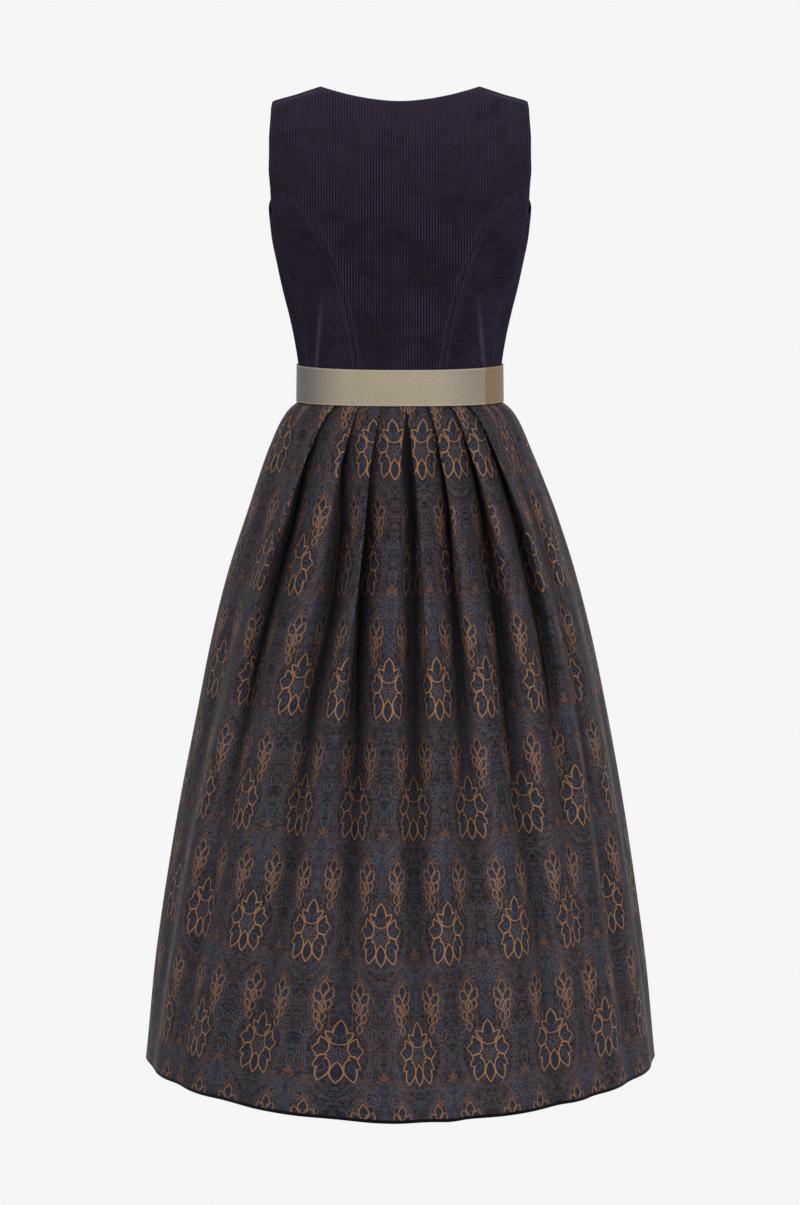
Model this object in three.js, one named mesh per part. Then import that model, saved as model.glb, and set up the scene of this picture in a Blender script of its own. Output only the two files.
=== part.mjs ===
// Dirndl: a sleeveless corduroy bodice with princess seams, a knife-pleated skirt and a ribbon belt.
// Millimetres, +Z up. The origin lies midway between the two shoulder seams, where the wearer's
// shoulders carry the dress. The centre back faces -Y and the centre front faces +Y.
import * as THREE from "three";

// ---- Driving dimensions -------------------------------------------------------------------------
const NECK_HALF = 107; // shoulder seam's inner end, from the centre line
const SHOULDER_DROP = 21; // how far the shoulder seam falls from neck to arm
const BACK_NECK_DROP = 20; // depth of the back neckline below the shoulder seam's inner end
const FRONT_NECK_DROP = 140; // depth of the front scoop
const UNDERARM = -172; // height of the armhole's lowest point
const BACK_YOKE = -133; // where the back princess seam meets the armhole
const FRONT_YOKE = -133; // where the front princess seam meets the armhole
const WAIST = -403; // waist seam, hidden under the belt
const HEM = -1344; // the skirt's lower edge
const SEAM_GAP = 0.3; // clear space between two pieces that are sewn together
const BODICE_CLOTH = 2; // corduroy, without its wales
const SKIRT_CLOTH = 1.5; // brocade
const BELT_CLOTH = 1.8;
const BELT_TOP = -374.5; // at the centre back
const BELT_RISE = 2; // how much higher the belt's upper edge sits at the sides
const BELT_BOTTOM = -422.5;
const BELT_UNDER_END = 24; // bearing where the darker end piece starts, beneath the band
const BELT_UPPER_END = 51; // bearing of the band's end, which lies over the end piece
const BELT_JOIN = 104; // bearing of the seam between the end piece and the band
const BELT_LIFT = 2.3; // how far the band's end stands outside the end piece
const WALE_PITCH = 3.9; // corduroy: distance from one wale to the next
const WALE_HEIGHT = 0.7; // how far a wale stands above the ground cloth
const BODICE_POWER = 2.3; // roundness of the bodice's sections: 2 is an ellipse

// ---- Tables -------------------------------------------------------------------------------------
// Outer form of the bodice: half width, and depth behind and in front of the shoulder seam's plane.
const BODICE_SECTIONS = [
  { z: 0, half: 107, back: 34, front: 34 },
  { z: -10, half: 137.5, back: 42, front: 42 },
  { z: -21, half: 172, back: 50, front: 50 },
  { z: -40, half: 183, back: 60, front: 60 },
  { z: -70, half: 189.5, back: 72, front: 74 },
  { z: -100, half: 190.5, back: 81, front: 86 },
  { z: -135, half: 183.5, back: 87, front: 97 },
  { z: -172, half: 176, back: 89.5, front: 106 },
  { z: -205, half: 172, back: 89, front: 109 },
  { z: -237, half: 165.5, back: 87, front: 107 },
  { z: -270, half: 158.5, back: 84, front: 102 },
  { z: -302, half: 150.5, back: 82, front: 97 },
  { z: -334, half: 143.5, back: 81, front: 93 },
  { z: -372, half: 137.6, back: 81, front: 90 },
  { z: -404, half: 136, back: 81, front: 89 },
];
// Armhole edge, as a distance from the centre line.
const ARMHOLE = [
  { z: -21, back: 172, front: 172 },
  { z: -50, back: 173.5, front: 166 },
  { z: -85, back: 175, front: 161 },
  { z: -110, back: 175, front: 162 },
  { z: -133, back: 174, front: 166 },
];
// Princess seams, from the armhole down to the waist, as a distance from the centre line.
const BACK_PRINCESS = [
  { z: -133, x: 174 },
  { z: -141, x: 148 },
  { z: -160, x: 129 },
  { z: -183, x: 113 },
  { z: -237, x: 88 },
  { z: -303, x: 69 },
  { z: -345, x: 61 },
  { z: -404, x: 57 },
];
const FRONT_PRINCESS = [
  { z: -133, x: 166 },
  { z: -146, x: 141 },
  { z: -175, x: 116 },
  { z: -225, x: 95 },
  { z: -290, x: 80 },
  { z: -345, x: 66 },
  { z: -404, x: 58 },
];
// The back side panel's wales run along this line, as a distance from the centre line.
const BACK_WALE_LINE = [
  { z: -133, x: 137 },
  { z: -404, x: 84 },
];
// Side seam, set towards the back: its bearing from the centre back, in degrees.
const SIDE_SEAM = [
  { z: -172, bearing: 76 },
  { z: -237, bearing: 69 },
  { z: -303, bearing: 62 },
  { z: -404, bearing: 57 },
];
// Mean surface of the skirt, the roundness of its sections, and how far they stand off towards +X.
const SKIRT_SECTIONS = [
  { z: -403, half: 133, back: 78.6, front: 86.4, power: 2.3, sway: 0 },
  { z: -421.5, half: 134.5, back: 80, front: 88, power: 2.3, sway: 0 },
  { z: -427, half: 143, back: 87, front: 94, power: 2.28, sway: 0 },
  { z: -433, half: 150, back: 93, front: 99, power: 2.25, sway: 0 },
  { z: -449, half: 161, back: 102, front: 107, power: 2.2, sway: 0 },
  { z: -482, half: 175.5, back: 116, front: 120, power: 2.15, sway: 0 },
  { z: -531, half: 194, back: 133, front: 137, power: 2.1, sway: 1.5 },
  { z: -580, half: 211, back: 150, front: 153, power: 2.05, sway: 3 },
  { z: -650, half: 233.5, back: 174, front: 176, power: 2, sway: 3 },
  { z: -740, half: 256.5, back: 199, front: 200, power: 1.97, sway: 3.5 },
  { z: -850, half: 279, back: 226, front: 226, power: 1.9, sway: 4 },
  { z: -970, half: 302, back: 251, front: 251, power: 1.85, sway: 3 },
  { z: -1090, half: 322, back: 273, front: 273, power: 1.82, sway: 2 },
  { z: -1220, half: 341, back: 291, front: 291, power: 1.78, sway: 1.5 },
  { z: -1344, half: 355.5, back: 302, front: 302, power: 1.76, sway: 1 },
];
// The skirt's folds, in order round the dress. Each row is one valley: whether it is pressed into a
// knife pleat at the waist, its bearing from the centre back in degrees, and half its depth in
// millimetres, each at the heights named in STATIONS.
const STATIONS = {
  bearing: [-403, -600, -860, -1100, -1344],
  depth: [-403, -455, -600, -860, -1100, -1344],
};
const BACK_FOLDS = [
  { name: "left side", pressed: 0, bearing: [-57, -63, -71, -75, -78], depth: [0.4, 1.5, 4, 5, 5, 4] },
  { name: "left third", pressed: 1, bearing: [-38, -45, -52, -57, -61], depth: [1, 7, 17, 8, 5, 4] },
  { name: "left second", pressed: 1, bearing: [-22, -21, -29, -34, -44], depth: [1, 7, 17, 11, 7, 5] },
  { name: "left first", pressed: 1, bearing: [-9.5, -12, -14, -16, -16.5], depth: [1, 7, 17, 15, 9, 5] },
  { name: "centre", pressed: 1, bearing: [2, 3.3, 3.6, 4.4, 7], depth: [1, 7, 14, 12, 9, 4] },
  { name: "right first", pressed: 1, bearing: [15.3, 14.8, 17, 18, 18], depth: [1, 7, 13, 10, 7, 5] },
  { name: "right second", pressed: 1, bearing: [29, 30, 32, 36.5, 39], depth: [1, 7, 17, 12, 8, 5] },
  { name: "right third", pressed: 1, bearing: [41, 46, 48, 49, 50], depth: [1, 7, 16, 8, 4, 3] },
  { name: "right side", pressed: 0, bearing: [57, 59, 61, 62, 64], depth: [0.4, 1.5, 4, 6, 6, 4] },
  { name: "right hip", pressed: 0, bearing: [75, 77, 80, 82, 83], depth: [0.3, 0.6, 1.5, 3, 4, 4] },
];
// The front has the same kind of folds, even on both sides of the centre front.
const FRONT_FOLDS = [
  { name: "centre", pressed: 1, bearing: [0, 0, 0, 0, 0], depth: [1, 7, 12, 10, 7, 4] },
  { name: "first", pressed: 1, bearing: [13, 13.5, 15, 16.5, 18], depth: [1, 7, 16, 12, 8, 5] },
  { name: "second", pressed: 1, bearing: [26, 28, 31, 34, 36], depth: [1, 7, 16, 11, 7, 5] },
  { name: "third", pressed: 1, bearing: [40, 44, 48, 52, 54], depth: [1, 7, 15, 8, 5, 4] },
  { name: "side", pressed: 0, bearing: [57, 60, 65, 69, 72], depth: [0.4, 1.5, 4, 5, 5, 4] },
];
// How flat the pleats are pressed on the way down, from 1 for folded flat to 0 for a free wave, and
// how far the top of a free wave leans over the valley beside it.
const PLEAT_FALL = [
  { z: -403, pressed: 1, lean: 5 },
  { z: -424, pressed: 1, lean: 6 },
  { z: -440, pressed: 0.8, lean: 9 },
  { z: -470, pressed: 0.4, lean: 12 },
  { z: -520, pressed: 0.1, lean: 11.5 },
  { z: -600, pressed: 0, lean: 10 },
  { z: -700, pressed: 0, lean: 8 },
  { z: -860, pressed: 0, lean: 4 },
  { z: -1100, pressed: 0, lean: 1 },
  { z: -1344, pressed: 0, lean: 0 },
];
const PLEAT_TUCK = 10; // how far a pressed pleat is folded under itself
const PLEAT_LAYER = 1.95; // distance between the layers of a pressed pleat, middle to middle
const WAVE_SHARPNESS = 1.4; // above 1 the valleys of a free wave are narrower than its faces
// A pleat that faces towards larger bearings, across its valley. place is the share of a fold, along
// is in tucks and out is in layers. The cloth comes from the left, folds under itself, goes back and
// comes out again below.
const KNIFE_PLEAT = [
  { place: -0.44, along: -0.75, out: 1 },
  { place: -0.34, along: 0.5, out: 1 },
  { place: -0.26, along: 0.5, out: 0 },
  { place: -0.12, along: -0.5, out: 0 },
  { place: -0.04, along: -0.5, out: -1 },
  { place: 0.06, along: 0.75, out: -1 },
];
const BACK_FACE_POINTS = [0.28]; // further columns of points on a pleat's face
const FRONT_FACE_POINTS = [];
const SKIRT_ROWS = [-422, -430, -446, -474, -520, -585, -680, -810, -980, -1160];

// ---- Numbers ------------------------------------------------------------------------------------
const rad = THREE.MathUtils.degToRad;
const signedPower = (value, power) => Math.sign(value) * Math.abs(value) ** power;

// Reads one column of a table at a height, along a smooth curve through its rows.
function read(table, column, z) {
  const last = table.length - 1;
  const i = Math.max(0, table.findLastIndex((row) => row.z >= z));
  if (i >= last || z >= table[0].z) return table[z >= table[0].z ? 0 : last][column];
  const slope = (a, b) => (table[b][column] - table[a][column]) / (table[b].z - table[a].z);
  const here = slope(i, i + 1);
  // The gentler of two slopes keeps the curve from overshooting; opposite slopes give a level spot.
  const join = (other) => (other * here <= 0 ? 0 : Math.sign(here) * Math.min(
    Math.abs(other + here) / 2, 2 * Math.abs(other), 2 * Math.abs(here)));
  const before = i > 0 ? join(slope(i - 1, i)) : here;
  const after = i + 1 < last ? join(slope(i + 1, i + 2)) : here;
  const span = table[i + 1].z - table[i].z;
  const t = (z - table[i].z) / span;
  const start = table[i][column];
  const end = table[i + 1][column];
  return start * (1 + 2 * t) * (1 - t) ** 2 + end * t * t * (3 - 2 * t)
    + span * t * (1 - t) * (before * (1 - t) - after * t);
}

// A rounded section at a bearing from the centre back; positive bearings turn towards +X.
function onSection(bearing, z, { half, back, front, power }) {
  const depth = Math.cos(bearing) > 0 ? back : front;
  return new THREE.Vector3(
    half * signedPower(Math.sin(bearing), 2 / power),
    -depth * signedPower(Math.cos(bearing), 2 / power),
    z,
  );
}

// The direction straight out of a rounded section, level with it, at a point on it.
function outwardOf(point, { half, back, front, power }) {
  const depth = point.y < 0 ? back : front;
  return new THREE.Vector3(
    signedPower(point.x / half, power - 1) / half,
    signedPower(point.y / depth, power - 1) / depth,
    0,
  ).normalize();
}

// Slides a point round a section by a length; positive lengths go towards +X at the centre back.
function slide(point, length, section) {
  const outward = outwardOf(point, section);
  const moved = point.clone().add(new THREE.Vector3(-outward.y, outward.x, 0).multiplyScalar(length));
  const depth = moved.y < 0 ? section.back : section.front;
  const size = Math.abs(moved.x / section.half) ** section.power + Math.abs(moved.y / depth) ** section.power;
  const scale = size ** (-1 / section.power);
  return new THREE.Vector3(moved.x * scale, moved.y * scale, point.z);
}

// ---- Walls --------------------------------------------------------------------------------------
// Joins two rows of numbered points whose places along the row may differ, and returns triangles.
function stitch(lower, upper) {
  const faces = [];
  let i = 0;
  let j = 0;
  while (i < lower.length - 1 || j < upper.length - 1) {
    const lowerNext = i < lower.length - 1 ? lower[i + 1].key + lower[i].key : Infinity;
    const upperNext = j < upper.length - 1 ? upper[j + 1].key + upper[j].key : Infinity;
    if (lowerNext <= upperNext) {
      faces.push([lower[i].index, lower[i + 1].index, upper[j].index]);
      i += 1;
    } else {
      faces.push([lower[i].index, upper[j + 1].index, upper[j].index]);
      j += 1;
    }
  }
  return faces;
}

// A closed wall between outer rows and inner rows. Each row is a list of {point, key}, and key says
// how far along its row a point lies.
function wall(outerRows, innerRows) {
  const positions = [];
  const number = (row) => row.map(({ point, key }) => {
    positions.push(point.x, point.y, point.z);
    return { index: positions.length / 3 - 1, key };
  });
  const outer = outerRows.map(number);
  const inner = innerRows.map(number);
  const faces = [];
  const flip = (list) => list.map(([a, b, c]) => [a, c, b]);
  for (let r = 0; r + 1 < outer.length; r += 1) {
    faces.push(...stitch(outer[r], outer[r + 1]));
    faces.push(...flip(stitch(inner[r], inner[r + 1])));
    for (const side of [0, -1]) {
      const quad = [outer[r].at(side), outer[r + 1].at(side), inner[r + 1].at(side), inner[r].at(side)]
        .map((vertex) => vertex.index);
      const pair = [[quad[0], quad[1], quad[2]], [quad[0], quad[2], quad[3]]];
      faces.push(...(side === 0 ? pair : flip(pair)));
    }
  }
  faces.push(...flip(stitch(outer[0], inner[0])));
  faces.push(...stitch(outer.at(-1), inner.at(-1)));
  const corner = (i) => new THREE.Vector3().fromArray(positions, 3 * i);
  const volume = faces.reduce((sum, [a, b, c]) => sum + corner(a).dot(corner(b).cross(corner(c))), 0);
  const geometry = new THREE.BufferGeometry();
  geometry.setAttribute("position", new THREE.Float32BufferAttribute(positions, 3));
  geometry.setIndex((volume > 0 ? faces : flip(faces)).flat());
  geometry.computeVertexNormals();
  return geometry;
}

// ---- Bodice -------------------------------------------------------------------------------------
const bodiceSection = (z) => ({
  half: read(BODICE_SECTIONS, "half", z),
  back: read(BODICE_SECTIONS, "back", z),
  front: read(BODICE_SECTIONS, "front", z),
  power: BODICE_POWER,
});

// The front princess seams shape a soft fullness over the bust.
const BUST = { x: 82, z: -218, rise: 13, reachX: 56, reachZ: 64 };
function bodicePoint(bearing, z) {
  const point = onSection(bearing, z, bodiceSection(z));
  if (point.y > 0) {
    const across = (Math.abs(point.x) - BUST.x) / BUST.reachX;
    const along = (z - BUST.z) / BUST.reachZ;
    const fade = Math.min(1, point.y / 40);
    point.y += BUST.rise * Math.exp(-across * across - along * along) * fade;
  }
  return point;
}

function bodiceNormal(bearing, z) {
  const step = 0.004;
  const across = bodicePoint(bearing + step, z).sub(bodicePoint(bearing - step, z));
  const up = bodicePoint(bearing, z + 0.3).sub(bodicePoint(bearing, z - 0.3));
  return across.cross(up).normalize();
}

// The bearing at which the bodice's section reaches a distance from the centre line.
function bearingAt(x, z, front) {
  const share = Math.min(1, Math.abs(x) / read(BODICE_SECTIONS, "half", z));
  const turned = Math.min(Math.asin(share ** (BODICE_POWER / 2)), rad(89.9));
  return (x < 0 ? -1 : 1) * (front ? Math.PI - turned : turned);
}

// Row heights as shares: the lower ones run from waist to armhole, the upper ones on to the shoulder.
const LOWER_ROWS = [0, 0.12, 0.4, 0.68, 0.88, 1];
const UPPER_ROWS = [0.35, 0.65, 0.87, 1];
const WAIST_EDGE = WAIST + SEAM_GAP / 2;
const heightAt = (top, share) => WAIST_EDGE + (top - WAIST_EDGE) * share;

// How far it is round the bodice at one height, from one bearing to another.
function girth(from, to, z) {
  const steps = 24;
  const spot = (k) => bodicePoint(from + ((to - from) * k) / steps, z);
  let sum = 0;
  for (let k = 0; k < steps; k += 1) sum += spot(k).distanceTo(spot(k + 1));
  return sum;
}

// Turns a row's curve into outer points, with a raised wale every WALE_PITCH, and plain inner points.
// The curve gives a bearing, a height and the distance across the wales, for t from 0 to 1.
function clothRow(curve, innerCount) {
  const fine = 144;
  const samples = [];
  for (let k = 0; k <= fine; k += 1) samples.push(curve(k / fine));
  const start = samples[0].across;
  const end = samples[fine].across;
  const at = (across, rise) => {
    const k = Math.min(fine - 1, Math.max(0, samples.findLastIndex((sample) => sample.across <= across)));
    const t = (across - samples[k].across) / (samples[k + 1].across - samples[k].across);
    const bearing = THREE.MathUtils.lerp(samples[k].bearing, samples[k + 1].bearing, t);
    const z = THREE.MathUtils.lerp(samples[k].z, samples[k + 1].z, t);
    const flat = THREE.MathUtils.smoothstep(z, -395, -365); // the belt presses the wales flat
    const lift = rise > 0 ? rise * flat : rise;
    return { point: bodicePoint(bearing, z).addScaledVector(bodiceNormal(bearing, z), lift), key: across };
  };
  const first = start + SEAM_GAP / 2;
  const last = end - SEAM_GAP / 2;
  const half = WALE_PITCH / 2;
  const outer = [at(first, 0)];
  for (let k = Math.ceil(first / half + 0.6); k * half < last - 0.6 * half; k += 1) {
    outer.push(at(k * half, k % 2 === 0 ? 0 : WALE_HEIGHT));
  }
  outer.push(at(last, 0));
  const inner = [];
  for (let k = 0; k <= fine; k += fine / innerCount) {
    inner.push(at(THREE.MathUtils.clamp(samples[k].across, first, last), -BODICE_CLOTH));
  }
  return { outer, inner };
}

function panel(rows) {
  return wall(rows.map((row) => row.outer), rows.map((row) => row.inner));
}

// The height of a centre panel's upper edge above a point: its neckline, then its shoulder seam.
function upperEdge(x, front) {
  if (x <= NECK_HALF) {
    const share = x / NECK_HALF;
    return front
      ? -FRONT_NECK_DROP * Math.sqrt(1 - share * share)
      : -BACK_NECK_DROP * (1 - share ** 1.8);
  }
  let [low, high] = [-SHOULDER_DROP, 0];
  for (let k = 0; k < 40; k += 1) {
    const middle = (low + high) / 2;
    if (read(BODICE_SECTIONS, "half", middle) > x) low = middle;
    else high = middle;
  }
  return low;
}

// A centre panel's rows: where each meets the panel's edge, at the heights of the side panel's rows
// and then up the armhole, and how far up the panel it runs, as a share of the panel's height.
function centreRows(front) {
  const [seam, yoke, side] = front
    ? [FRONT_PRINCESS, FRONT_YOKE, "front"]
    : [BACK_PRINCESS, BACK_YOKE, "back"];
  const row = (edgeX, edgeZ) => {
    const share = (edgeZ - WAIST_EDGE) / (upperEdge(edgeX, front) - WAIST_EDGE);
    return { edgeX, share: Math.min(1, share) };
  };
  const along = LOWER_ROWS.map((share) => heightAt(yoke, share)).map((z) => row(read(seam, "x", z), z));
  const arm = UPPER_ROWS.map((share) => THREE.MathUtils.lerp(yoke, -SHOULDER_DROP, share));
  return [...along, ...arm.map((z) => row(read(ARMHOLE, side, z), z))];
}

// A place on a centre panel's row: t runs from 0 at the centre line to 1, or -1, at its edge. Places
// crowd together where the neckline climbs to the shoulder.
function centrePlace(t, { edgeX, share }, front) {
  const turnAt = (x) => (x < NECK_HALF ? Math.asin(x / NECK_HALF) : Math.PI / 2 + (x - NECK_HALF) / 80);
  const turn = Math.abs(t) * turnAt(edgeX);
  const x = turn < Math.PI / 2 ? NECK_HALF * Math.sin(turn) : NECK_HALF + 80 * (turn - Math.PI / 2);
  const z = heightAt(upperEdge(x, front), share);
  const bearing = bearingAt(x, z, front);
  const across = girth(front ? Math.PI : 0, bearing, z);
  const sign = t < 0 ? -1 : 1;
  return { bearing: sign * bearing, z, across: sign * across };
}

function centreBack() {
  return panel(centreRows(false).map((row) =>
    clothRow((t) => centrePlace(2 * t - 1, row, false), row.share < 1 ? 18 : 72)));
}

function centreFront() {
  return panel(centreRows(true).map((row) =>
    clothRow((t) => centrePlace(t, row, true), row.share < 1 ? 18 : 48)));
}

// A side panel's place between its princess seam and the side seam. Its wales run along its middle.
const sideBearing = (z) => rad(read(SIDE_SEAM, "bearing", z));
function sidePlace(t, share, front) {
  const [seam, yoke] = front ? [FRONT_PRINCESS, FRONT_YOKE] : [BACK_PRINCESS, BACK_YOKE];
  const seamZ = heightAt(yoke, share);
  const sideZ = heightAt(UNDERARM, share);
  const seamBearing = bearingAt(read(seam, "x", seamZ), seamZ, front);
  const place = (u) => ({
    bearing: THREE.MathUtils.lerp(seamBearing, sideBearing(sideZ), u),
    z: THREE.MathUtils.lerp(seamZ, sideZ, front ? 1 - (1 - u) ** 1.5 : u),
  });
  const { bearing, z } = place(t);
  const middle = front ? place(0.5).bearing : bearingAt(read(BACK_WALE_LINE, "x", z), z, false);
  const across = Math.sign(bearing - middle) * girth(middle, bearing, z);
  return { bearing, z, across };
}

function sideBack() {
  return panel(LOWER_ROWS.map((share) => clothRow((t) => sidePlace(t, share, false), 6)));
}

function sideFront() {
  return panel(LOWER_ROWS.map((share) => clothRow((t) => sidePlace(1 - t, share, true), 9)));
}

// The same panel on the dress's other side.
function mirrored(geometry) {
  const other = geometry.clone();
  const position = other.getAttribute("position");
  for (let i = 0; i < position.count; i += 1) position.setX(i, -position.getX(i));
  const index = other.getIndex();
  for (let i = 0; i < index.count; i += 3) {
    const second = index.getX(i + 1);
    index.setX(i + 1, index.getX(i + 2));
    index.setX(i + 2, second);
  }
  other.computeVertexNormals();
  return other;
}

// ---- Skirt --------------------------------------------------------------------------------------
const skirtSection = (z) => ({
  half: read(SKIRT_SECTIONS, "half", z),
  back: read(SKIRT_SECTIONS, "back", z),
  front: read(SKIRT_SECTIONS, "front", z),
  power: read(SKIRT_SECTIONS, "power", z),
});

// Every fold round the dress, numbered in order of bearing from the centre front. way tells which
// way its pleat faces: 1 towards larger bearings, -1 towards smaller ones, 0 for a pleat that opens
// evenly in the middle, at the centre back and the centre front.
function allFolds() {
  const turned = (fold, sign, centre, way) => ({
    ...fold,
    way: fold.name === "centre" ? 0 : way,
    bearing: fold.bearing.map((bearing) => centre + sign * bearing),
  });
  const middle = BACK_FOLDS.findIndex((fold) => fold.name === "centre");
  return [
    ...FRONT_FOLDS.map((fold) => turned(fold, 1, -180, -1)),
    ...BACK_FOLDS.map((fold, i) => turned(fold, 1, 0, i < middle ? 1 : -1)),
    ...FRONT_FOLDS.slice(1).map((fold) => turned(fold, -1, 180, 1)).reverse(),
  ];
}
const FOLDS = allFolds();
const FOLD_COUNT = FOLDS.length;
const LEFT_SIDE = FRONT_FOLDS.length - 0.5; // halfway between two folds
const RIGHT_SIDE = LEFT_SIDE + BACK_FOLDS.length;

const foldAt = (index) => FOLDS[((index % FOLD_COUNT) + FOLD_COUNT) % FOLD_COUNT];

// A fold's bearing or depth at a height.
function foldValue(index, column, z) {
  const table = foldAt(index)[column].map((value, k) => ({ z: STATIONS[column][k], value }));
  const laps = column === "bearing" ? Math.floor(index / FOLD_COUNT) : 0;
  return read(table, "value", z) + 360 * laps;
}

// A smooth value between folds, from the four nearest ones.
function betweenFolds(place, column, z) {
  const i = Math.floor(place);
  const t = place - i;
  const [a, b, c, d] = [-1, 0, 1, 2].map((k) => foldValue(i + k, column, z));
  return b + 0.5 * t * (c - a + t * (2 * a - 5 * b + 4 * c - d + t * (3 * (b - c) + d - a)));
}

// The corners of one fold as it is pressed at the waist.
function pressedCorners(index) {
  const { way, pressed } = foldAt(index);
  const facing = (corner, side, shift) => ({
    index,
    place: index + side * corner.place,
    along: pressed * side * PLEAT_TUCK * (corner.along + shift),
    out: pressed * PLEAT_LAYER * corner.out,
  });
  if (way !== 0) {
    const corners = KNIFE_PLEAT.map((corner) => facing(corner, way, 0));
    return way > 0 ? corners : corners.reverse();
  }
  const half = KNIFE_PLEAT.slice(0, -1);
  const left = half.map((corner) => facing(corner, 1, -0.58));
  return [...left, ...half.map((corner) => facing(corner, -1, -0.58)).reverse()];
}

// The pressed cloth's bearing at any place, and its offset along and out of the section.
function pressedCloth(place, z) {
  const i = Math.floor(place);
  const corners = [i - 1, i, i + 1, i + 2].flatMap(pressedCorners);
  const k = corners.findLastIndex((corner) => corner.place <= place + 1e-9);
  const [from, to] = [corners[k], corners[k + 1]];
  const t = (place - from.place) / (to.place - from.place);
  const bearingOf = (corner) => THREE.MathUtils.lerp(
    betweenFolds(corner.place, "bearing", z),
    foldValue(corner.index, "bearing", z),
    foldAt(corner.index).pressed,
  );
  return {
    bearing: THREE.MathUtils.lerp(bearingOf(from), bearingOf(to), t),
    along: THREE.MathUtils.lerp(from.along, to.along, t),
    out: THREE.MathUtils.lerp(from.out, to.out, t),
  };
}

// How strongly a free wave leans, and which way: it changes side at the centre lines and the sides.
function leanWay(place) {
  const turns = [0, LEFT_SIDE, (LEFT_SIDE + RIGHT_SIDE) / 2 - 0.5, RIGHT_SIDE, FOLD_COUNT];
  const ways = [-1, 1, -1, 1];
  const k = Math.min(3, Math.max(0, turns.findLastIndex((turn) => turn <= place)));
  const nearest = Math.min(...turns.map((turn) => Math.abs(place - turn)));
  return ways[k] * Math.min(1, 2 * nearest);
}

// The cloth's middle surface. Each whole number of place is a fold's valley.
function skirtMiddle(place, z) {
  const section = skirtSection(z);
  const flat = read(PLEAT_FALL, "pressed", z);
  const pleat = pressedCloth(place, z);
  const depth = betweenFolds(place, "depth", z);
  const wave = 1 - 2 * Math.abs(Math.cos(Math.PI * place)) ** (2 * WAVE_SHARPNESS);
  const lean = leanWay(place) * read(PLEAT_FALL, "lean", z) * wave * Math.min(1, depth / 6);
  const bearing = THREE.MathUtils.lerp(betweenFolds(place, "bearing", z), pleat.bearing, flat);
  const start = onSection(rad(bearing), z, section);
  const point = slide(start, THREE.MathUtils.lerp(lean, pleat.along, flat), section);
  const out = THREE.MathUtils.lerp(depth * wave, pleat.out, flat);
  point.addScaledVector(outwardOf(point, section), out);
  point.x += read(SKIRT_SECTIONS, "sway", z);
  return point;
}

// The places of a panel's columns of points: every corner of its pleats and some on its faces.
function columnPlaces(from, to, facePoints) {
  const places = [];
  for (let index = Math.floor(from); index <= Math.ceil(to); index += 1) {
    const { way } = foldAt(index);
    const corners = pressedCorners(index).map((corner) => corner.place);
    const face = way === 0 ? [] : facePoints.map((point) => index + way * point);
    places.push(...corners, ...face, index + 0.5);
  }
  places.push(from, to);
  const inside = [...new Set(places)].filter((place) => place >= from && place <= to);
  return inside.sort((a, b) => a - b);
}

// One row of the skirt's wall, offset evenly to both sides of the cloth's middle.
function skirtRow(places, z) {
  const points = places.map((place) => skirtMiddle(place, z));
  const last = points.length - 1;
  const direction = (k) => points[k + 1].clone().sub(points[k]).normalize();
  points[0].addScaledVector(direction(0), SEAM_GAP / 2);
  points[last].addScaledVector(direction(last - 1), -SEAM_GAP / 2);
  const outer = [];
  const inner = [];
  points.forEach((point, k) => {
    const before = direction(Math.max(0, k - 1));
    const after = direction(Math.min(last - 1, k));
    const along = before.clone().add(after).normalize();
    const reach = SKIRT_CLOTH / 2 / Math.max(0.6, along.dot(after));
    const outward = new THREE.Vector3(along.y, -along.x, 0);
    outer.push({ point: point.clone().addScaledVector(outward, reach), key: places[k] });
    inner.push({ point: point.clone().addScaledVector(outward, -reach), key: places[k] });
  });
  return { outer, inner };
}

function skirtPanel(from, to, facePoints) {
  const places = columnPlaces(from, to, facePoints);
  const heights = [WAIST - SEAM_GAP / 2, ...SKIRT_ROWS, HEM];
  return panel(heights.map((z) => skirtRow(places, z)));
}

// ---- Belt ---------------------------------------------------------------------------------------
// Two strips that make one belt. The band's end lies over the end piece at the right of the back.
const BELT_SECTIONS = [
  { z: BELT_BOTTOM, half: 139.6, back: 84.8, front: 92.9, power: BODICE_POWER },
  { z: BELT_TOP, half: 138.9, back: 82.6, front: 91.4, power: BODICE_POWER },
];
function beltStrip(from, to, steps, lifted) {
  return panel(BELT_SECTIONS.map((section) => {
    const outer = [];
    const inner = [];
    for (let k = 0; k <= steps; k += 1) {
      const bearing = from + ((to - from) * k) / steps;
      const lift = lifted ? BELT_LIFT * THREE.MathUtils.smoothstep(bearing, 364, 382) : 0;
      const rise = section.z > BELT_BOTTOM ? BELT_RISE * Math.sin(rad(bearing)) ** 2 : 0;
      const point = onSection(rad(bearing), section.z + rise, section);
      const outward = outwardOf(point, section);
      outer.push({ point: point.clone().addScaledVector(outward, lift + BELT_CLOTH), key: k });
      inner.push({ point: point.clone().addScaledVector(outward, lift), key: k });
    }
    return { outer, inner };
  }));
}
const JOIN_GAP = 0.15; // half the seam's gap, in degrees round the belt

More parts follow.
